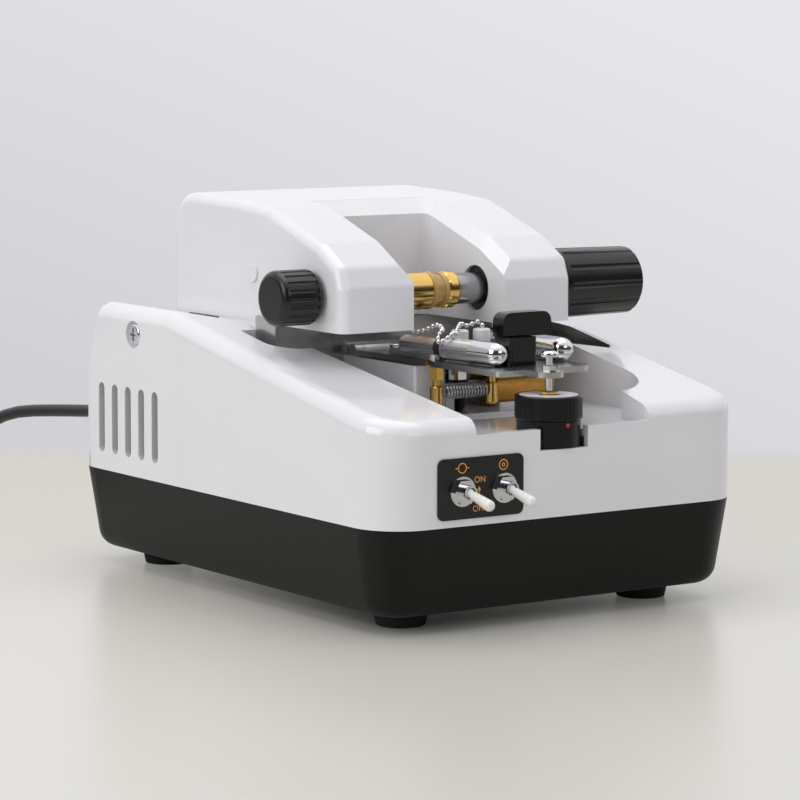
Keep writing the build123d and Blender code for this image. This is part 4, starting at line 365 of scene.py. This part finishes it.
def wound_wire(name, points, thickness, material):
    """A round wire along a smooth line of control points."""
    line = bpy.data.curves.new(name, "CURVE")
    line.dimensions = "3D"
    spline = line.splines.new("NURBS")
    spline.points.add(len(points) - 1)
    for point, place in zip(spline.points, points):
        point.co = (*place, 1)
    spline.order_u = WIRE_CURVE_ORDER
    spline.use_endpoint_u = True
    line.bevel_depth = thickness / 2
    line.bevel_resolution = WIRE_SMOOTHNESS
    line.resolution_u = WIRE_SMOOTHNESS
    line.use_fill_caps = True
    line.materials.append(material)
    piece = bpy.data.objects.new(name, line)
    bpy.context.collection.objects.link(piece)
    return piece


spring_line = []
spring_all = SPRING_TURNS + 2 * SPRING_END_TURNS
for step in range(int(spring_all * SPRING_POINTS_A_TURN) + 1):
    turns = step / SPRING_POINTS_A_TURN
    begun = min(turns, SPRING_END_TURNS) / SPRING_END_TURNS
    ended = max(turns - SPRING_END_TURNS - SPRING_TURNS, 0) / SPRING_END_TURNS
    wound = min(max(turns - SPRING_END_TURNS, 0), SPRING_TURNS)
    drawn = max(1 - begun, ended)
    radius = spring_radius - (spring_radius - SPRING_END_R) * drawn * drawn
    angle = 2 * math.pi * turns
    spring_line.append((spring_left + SPRING_END_L * (begun + ended) + spring_pitch * wound,
                        spring_axis.y + radius * math.cos(angle), spring_axis.z + radius * math.sin(angle)))
spring_wire = finish("spring wire", (226, 226, 228), (208, 208, 211), 0.22, grain=900.0, Metallic=1.0)
arm_spring = wound_wire("wound_arm_spring", spring_line, SPRING_WIRE, spring_wire)
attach(arm_spring, "platform")
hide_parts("arm_spring")

# The grooving wheel is a thin steel disc with a diamond edge, clamped on the shaft of a small
# motor whose can is passivated yellow.
wheel_grit = finish("wheel grit", (120, 120, 122), (96, 96, 98), 0.5, 0.2, grain=5000.0, depth=0.00006,
                    Metallic=1.0)
dress(wheel_grit, "wheel_grit", "grooving_wheel")
dress(screw_steel, "steel", "wheel_arbor")
motor_gold = finish("motor gold", (216, 164, 84), (190, 134, 56), 0.26, 0.12, grain=300.0, depth=0.00001,
                    stretch=(10, 1, 1), Metallic=1.0)
dress(motor_gold, "motor_gold", "wheel_motor")

# The head is white like the casing. Under it lies a steel bottom plate, and bronze bushes carry
# the pivots and the driven lens shaft.
dress(guard_steel, "steel", "head_bracket")
dress(turned_brass, "brass", "head_bushes")

# The driven lens shaft: a fluted black knob, a steel spindle with its gear, and a brass chuck with a
# soft amber pad. A small gear motor turns it.
knob_black = finish("knob black", (20, 21, 22), (14, 14, 15), 0.26, 0.08, grain=1500.0, depth=0.00002)
dress(knob_black, "black_gloss", "turning_knob")
dress(turned_brass, "brass", "drive_chuck", "spindle_gear")
dress(screw_steel, "steel", "drive_spindle", "motor_pinion", "lens_motor")
amber_pad = finish("amber pad", (232, 182, 104), (216, 156, 72), 0.2, grain=400.0, depth=0.00001,
                   Transmission_Weight=0.3, Subsurface_Weight=0.2, Coat_Weight=0.5)
dress(amber_pad, "pad_amber", "drive_pad", "clamp_pad")

# The clamp: a black sleeve, a ground steel quill, a brass chuck, and a long ribbed knob whose screw
# draws the quill back through a brass nut.
dress(knob_black, "black_gloss", "quill_sleeve", "clamp_knob")
quill_steel = finish("quill steel", (176, 176, 178), (150, 150, 152), 0.24, 0.1, grain=260.0, depth=0.00001,
                     stretch=(10, 1, 1), Metallic=1.0)
dress(quill_steel, "steel", "clamp_quill", "clamp_screw")
dress(turned_brass, "brass", "clamp_chuck", "clamp_nut")

# The supply inside the base: a laminated transformer and a green board.
core_iron = finish("core iron", (70, 70, 74), (50, 50, 54), 0.5, grain=900.0, Metallic=0.6)
dress(core_iron, "core_grey", "transformer")
board_green = finish("board green", (26, 92, 48), (20, 74, 38), 0.35, grain=500.0)
dress(board_green, "board_green", "circuit_board")

# The mains cord leaves a ribbed gland in the rear wall, sags to the table and lies there in a neat
# coil of two layers, with its plug beside it.
cord_vinyl = finish("cord vinyl", (24, 24, 25), (18, 18, 19), 0.45, grain=900.0, depth=0.00002)
dress(cord_vinyl, "rubber_black", "cord_gland", "plug")
CORD_D = 0.0062
CORD_GAP = 0.0006               # between turns of the coil
CORD_FLOOR_GAP = 0.0001         # between the cord and the table
CORD_FLOOR_Z = CORD_D / 2 + CORD_FLOOR_GAP
CORD_ROUTE = [(-0.060, 0.170, 0.0667), (-0.0615, 0.208, 0.0636), (-0.071, 0.262, 0.0582),
              (-0.070, 0.302, 0.035), (-0.060, 0.346, CORD_FLOOR_Z), (-0.054, 0.3888, CORD_FLOOR_Z)]
COIL_ENTRY = (-0.054, 0.395, CORD_FLOOR_Z)
COIL_PITCH = CORD_D + CORD_GAP
COIL_LAYER_TURNS = 3.25
COIL_INNER_R = 0.0235
COIL_POINTS_A_TURN = 16
SHORT_OF_END = 0.0001           # of a turn, to find which way the coil ends
# The tail to the plug: aside, onward and up from the end of the coil.
TAIL_ROUTE = [(0.0, 0.024, 0.0), (-0.004, 0.062, -0.0036), (0.0, 0.098, -0.0012)]


def coil_place(turns):
    """The middle of the cord after a number of turns: in along the floor, then out over that layer."""
    outer = COIL_INNER_R + COIL_PITCH * COIL_LAYER_TURNS
    start = -math.atan(COIL_PITCH / (2 * math.pi * outer))
    angle = start + 2 * math.pi * turns
    radius = COIL_INNER_R + COIL_PITCH * abs(turns - COIL_LAYER_TURNS)
    rise = min(max((turns - COIL_LAYER_TURNS) * 2 + 0.5, 0), 1)
    rise = rise * rise * (3 - 2 * rise)
    entry_x, entry_y, entry_z = COIL_ENTRY
    middle = Vector((entry_x - outer * math.cos(start), entry_y - outer * math.sin(start), 0))
    return middle + Vector((radius * math.cos(angle), radius * math.sin(angle),
                            entry_z + COIL_PITCH * rise))


cord_line = [Vector(place) for place in CORD_ROUTE]
coil_turns = 2 * COIL_LAYER_TURNS
cord_line += [coil_place(step / COIL_POINTS_A_TURN)
              for step in range(int(coil_turns * COIL_POINTS_A_TURN) + 1)]
coil_end = coil_place(coil_turns)
onward = (coil_end - coil_place(coil_turns - SHORT_OF_END)).normalized()
aside = Vector((onward.y, -onward.x, 0))
tail_start = coil_end + onward * CORD_D
cord_line.append(tail_start)
cord_line += [tail_start + aside * a + onward * b + Vector((0, 0, c)) for a, b, c in TAIL_ROUTE]
cord_line = [place + Vector((case_x, case_y, 0)) for place in cord_line]
mains_cable = wound_wire("mains_cable", cord_line, CORD_D, cord_vinyl)
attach(mains_cable, "case")
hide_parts("mains_cord", "cord_coil", "cord_tail")

# The machine stands on a smooth pale table in front of a plain grey wall, under soft lamps.
WHITE = (255, 255, 255)
BACKDROP = (209, 208, 212)
BACKDROP_HIGH = (232, 231, 235)
TABLE_NEAR = (215, 212, 204)
CAMERA_FROM_CASE = Vector((-0.9003, -1.3243, 0.2746))
CAMERA_YAW = math.radians(34.24)
CAMERA_PITCH = math.radians(6.74)
CAMERA_ROLL = math.radians(-0.14)
CAMERA_LENS = 155.52
CAMERA_SENSOR = 36.0
TABLE_HALF = 4.0
TABLE_EDGE = 2.05                # how far from the camera the table ends, over the floor
TABLE_EDGE_BLUR = 0.05
TABLE_PAINTED_GLOW_START = 1.45          # from here on the table glows more and more for the eye, with painted light in the wall's tone
TABLE_ROUGH = 0.3
TABLE_SHEEN = 0.35

ahead = Vector((math.sin(CAMERA_YAW), math.cos(CAMERA_YAW), 0))
forward = Vector((ahead.x * math.cos(CAMERA_PITCH), ahead.y * math.cos(CAMERA_PITCH),
                  -math.sin(CAMERA_PITCH)))
right = Vector((math.cos(CAMERA_YAW), -math.sin(CAMERA_YAW), 0))
down = forward.cross(right)
turn, slip = math.cos(CAMERA_ROLL), math.sin(CAMERA_ROLL)
image_right = right * turn + down * slip
image_up = right * slip - down * turn
camera_spot = Vector((case_x, case_y, 0)) + CAMERA_FROM_CASE
camera = bpy.data.objects.new("camera", bpy.data.cameras.new("camera"))
camera.data.sensor_width = CAMERA_SENSOR
camera.data.lens = CAMERA_LENS
camera.matrix_world = Matrix.Translation(camera_spot) @ Matrix(
    (image_right, image_up, -forward)).transposed().to_4x4()
bpy.context.collection.objects.link(camera)
bpy.context.scene.camera = camera
bpy.context.scene.view_settings.view_transform = "Standard"

table = bmesh.new()
bmesh.ops.create_grid(table, x_segments=1, y_segments=1, size=TABLE_HALF)
table_mesh = bpy.data.meshes.new("table")
table.to_mesh(table_mesh)
table.free()
table_top = bpy.data.objects.new("table", table_mesh)
bpy.context.collection.objects.link(table_top)
# Far from the camera the table takes on the tone of the wall, and past its edge it is clear to the eye.
# Towards its far end it also glows in that tone for the eye, a painted light that stands in for the wall's
# light on it.
MIX_FACTOR, MIX_FIRST, MIX_SECOND, MIX_RESULT = 0, 6, 7, 2      # sockets of a mix of two colours
table_finish = bpy.data.materials.new("table finish")
table_finish.use_nodes = True
nodes, links = table_finish.node_tree.nodes, table_finish.node_tree.links
shader = nodes["Principled BSDF"]
shader.inputs["Roughness"].default_value = TABLE_ROUGH
shader.inputs["Specular IOR Level"].default_value = TABLE_SHEEN
place = nodes.new("ShaderNodeTexCoord")
way = nodes.new("ShaderNodeVectorMath")
way.operation = "DOT_PRODUCT"
way.inputs[1].default_value = ahead
links.new(place.outputs["Object"], way.inputs[0])
reach = nodes.new("ShaderNodeMapRange")
reach.interpolation_type = "SMOOTHSTEP"
reach.inputs["From Min"].default_value = camera_spot.dot(ahead) + TABLE_EDGE - TABLE_EDGE_BLUR
reach.inputs["From Max"].default_value = camera_spot.dot(ahead) + TABLE_EDGE + TABLE_EDGE_BLUR
links.new(way.outputs["Value"], reach.inputs["Value"])
tone = nodes.new("ShaderNodeMix")
tone.data_type = "RGBA"
tone.inputs[MIX_FIRST].default_value = paint(TABLE_NEAR)
tone.inputs[MIX_SECOND].default_value = paint(BACKDROP)
links.new(reach.outputs["Result"], tone.inputs[MIX_FACTOR])
links.new(tone.outputs[MIX_RESULT], shader.inputs["Base Color"])
# Painted light: an emission in the table's tone, mixed in for camera rays only, growing towards the far edge.
painted_glow = nodes.new("ShaderNodeEmission")
links.new(tone.outputs[MIX_RESULT], painted_glow.inputs["Color"])
lift = nodes.new("ShaderNodeMapRange")
lift.interpolation_type = "SMOOTHSTEP"
lift.inputs["From Min"].default_value = camera_spot.dot(ahead) + TABLE_PAINTED_GLOW_START
lift.inputs["From Max"].default_value = camera_spot.dot(ahead) + TABLE_EDGE
links.new(way.outputs["Value"], lift.inputs["Value"])
table_rays = nodes.new("ShaderNodeLightPath")
far_seen = nodes.new("ShaderNodeMath")
far_seen.operation = "MULTIPLY"
links.new(lift.outputs["Result"], far_seen.inputs[0])
links.new(table_rays.outputs["Is Camera Ray"], far_seen.inputs[1])
fade = nodes.new("ShaderNodeMixShader")
links.new(far_seen.outputs["Value"], fade.inputs["Fac"])
links.new(shader.outputs["BSDF"], fade.inputs[1])
links.new(painted_glow.outputs["Emission"], fade.inputs[2])
beyond = nodes.new("ShaderNodeMath")
beyond.operation = "MULTIPLY"
links.new(reach.outputs["Result"], beyond.inputs[0])
links.new(table_rays.outputs["Is Camera Ray"], beyond.inputs[1])
clear = nodes.new("ShaderNodeBsdfTransparent")
edge = nodes.new("ShaderNodeMixShader")
links.new(beyond.outputs["Value"], edge.inputs["Fac"])
links.new(fade.outputs["Shader"], edge.inputs[1])
links.new(clear.outputs["BSDF"], edge.inputs[2])
links.new(edge.outputs["Shader"], nodes["Material Output"].inputs["Surface"])
table_mesh.materials.append(table_finish)

# The eye, and what is seen through clear plastics, has the wall behind. Gloss and bright metal mirror a
# room that is dark below and light above, and an even fill lights the rest.
FILL_COLOUR = (0.96, 0.97, 1.0, 1.0)
FILL_STRENGTH = 0.52
WALL_LEAN = 0.4                  # the wall grows lighter up and to the right
WALL_LOW = -0.15
WALL_HIGH = 0.03
ROOM_LEAN = 0.55                 # the room grows lighter up and away from the camera
ROOM_DARK = (56, 56, 60)
ROOM_TONES = ((0.1, (70, 70, 74)), (0.24, (120, 121, 126)), (0.42, (238, 240, 246)))
world = bpy.data.worlds.new("studio")
bpy.context.scene.world = world
world.use_nodes = True
nodes, links = world.node_tree.nodes, world.node_tree.links
fill = nodes["Background"]
fill.inputs["Color"].default_value = FILL_COLOUR
fill.inputs["Strength"].default_value = FILL_STRENGTH
wall = nodes.new("ShaderNodeBackground")
rays = nodes.new("ShaderNodeLightPath")
seen_through = nodes.new("ShaderNodeMath")
seen_through.operation = "MAXIMUM"
links.new(rays.outputs["Is Camera Ray"], seen_through.inputs[0])
links.new(rays.outputs["Is Transmission Ray"], seen_through.inputs[1])
room_way = nodes.new("ShaderNodeTexCoord")
wall_height = nodes.new("ShaderNodeVectorMath")
wall_height.operation = "DOT_PRODUCT"
wall_height.inputs[1].default_value = Vector((0, 0, 1)) + WALL_LEAN * right
links.new(room_way.outputs["Generated"], wall_height.inputs[0])
wall_share = nodes.new("ShaderNodeMapRange")
wall_share.inputs["From Min"].default_value = WALL_LOW
wall_share.inputs["From Max"].default_value = WALL_HIGH
links.new(wall_height.outputs["Value"], wall_share.inputs["Value"])
wall_tone = nodes.new("ShaderNodeMix")
wall_tone.data_type = "RGBA"
wall_tone.inputs[MIX_FIRST].default_value = paint(BACKDROP)
wall_tone.inputs[MIX_SECOND].default_value = paint(BACKDROP_HIGH)
links.new(wall_share.outputs["Result"], wall_tone.inputs[MIX_FACTOR])
links.new(wall_tone.outputs[MIX_RESULT], wall.inputs["Color"])
room_height = nodes.new("ShaderNodeVectorMath")
room_height.operation = "DOT_PRODUCT"
room_height.inputs[1].default_value = Vector((0, 0, 1)) + ROOM_LEAN * ahead
links.new(room_way.outputs["Generated"], room_height.inputs[0])
room_tone = nodes.new("ShaderNodeValToRGB")
room_tone.color_ramp.elements[0].color = paint(ROOM_DARK)
room_tone.color_ramp.elements[1].color = paint(WHITE)
for height, colour in ROOM_TONES:
    room_tone.color_ramp.elements.new(height).color = paint(colour)
links.new(room_height.outputs["Value"], room_tone.inputs["Fac"])
room = nodes.new("ShaderNodeBackground")
links.new(room_tone.outputs["Color"], room.inputs["Color"])
mirrored = nodes.new("ShaderNodeMixShader")
links.new(rays.outputs["Is Glossy Ray"], mirrored.inputs["Fac"])
links.new(fill.outputs["Background"], mirrored.inputs[1])
links.new(room.outputs["Background"], mirrored.inputs[2])
both = nodes.new("ShaderNodeMixShader")
links.new(seen_through.outputs["Value"], both.inputs["Fac"])
links.new(mirrored.outputs["Shader"], both.inputs[1])
links.new(wall.outputs["Background"], both.inputs[2])
links.new(both.outputs["Shader"], nodes["World Output"].inputs["Surface"])

# Each lamp is a soft panel: its place, its size and its power.
LAMPS = [("overhead", (0.0, 0.1, 1.3), (1.3, 1.1), 7.4), ("left", (-1.3, -0.1, 0.7), (0.9, 0.8), 6.6),
         ("front", (0.2, -1.5, 0.8), (0.9, 0.5), 2.5)]
LAMP_TARGET = Vector((0, 0, 0.08))
for name, spot, size, power in LAMPS:
    lamp = bpy.data.lights.new(name, "AREA")
    lamp.shape = "RECTANGLE"
    lamp.size, lamp.size_y = size
    lamp.energy = power
    lit = bpy.data.objects.new(name, lamp)
    aim = LAMP_TARGET - Vector(spot)
    lit.matrix_world = Matrix.Translation(spot) @ aim.to_track_quat("-Z", "Y").to_matrix().to_4x4()
    bpy.context.collection.objects.link(lit)
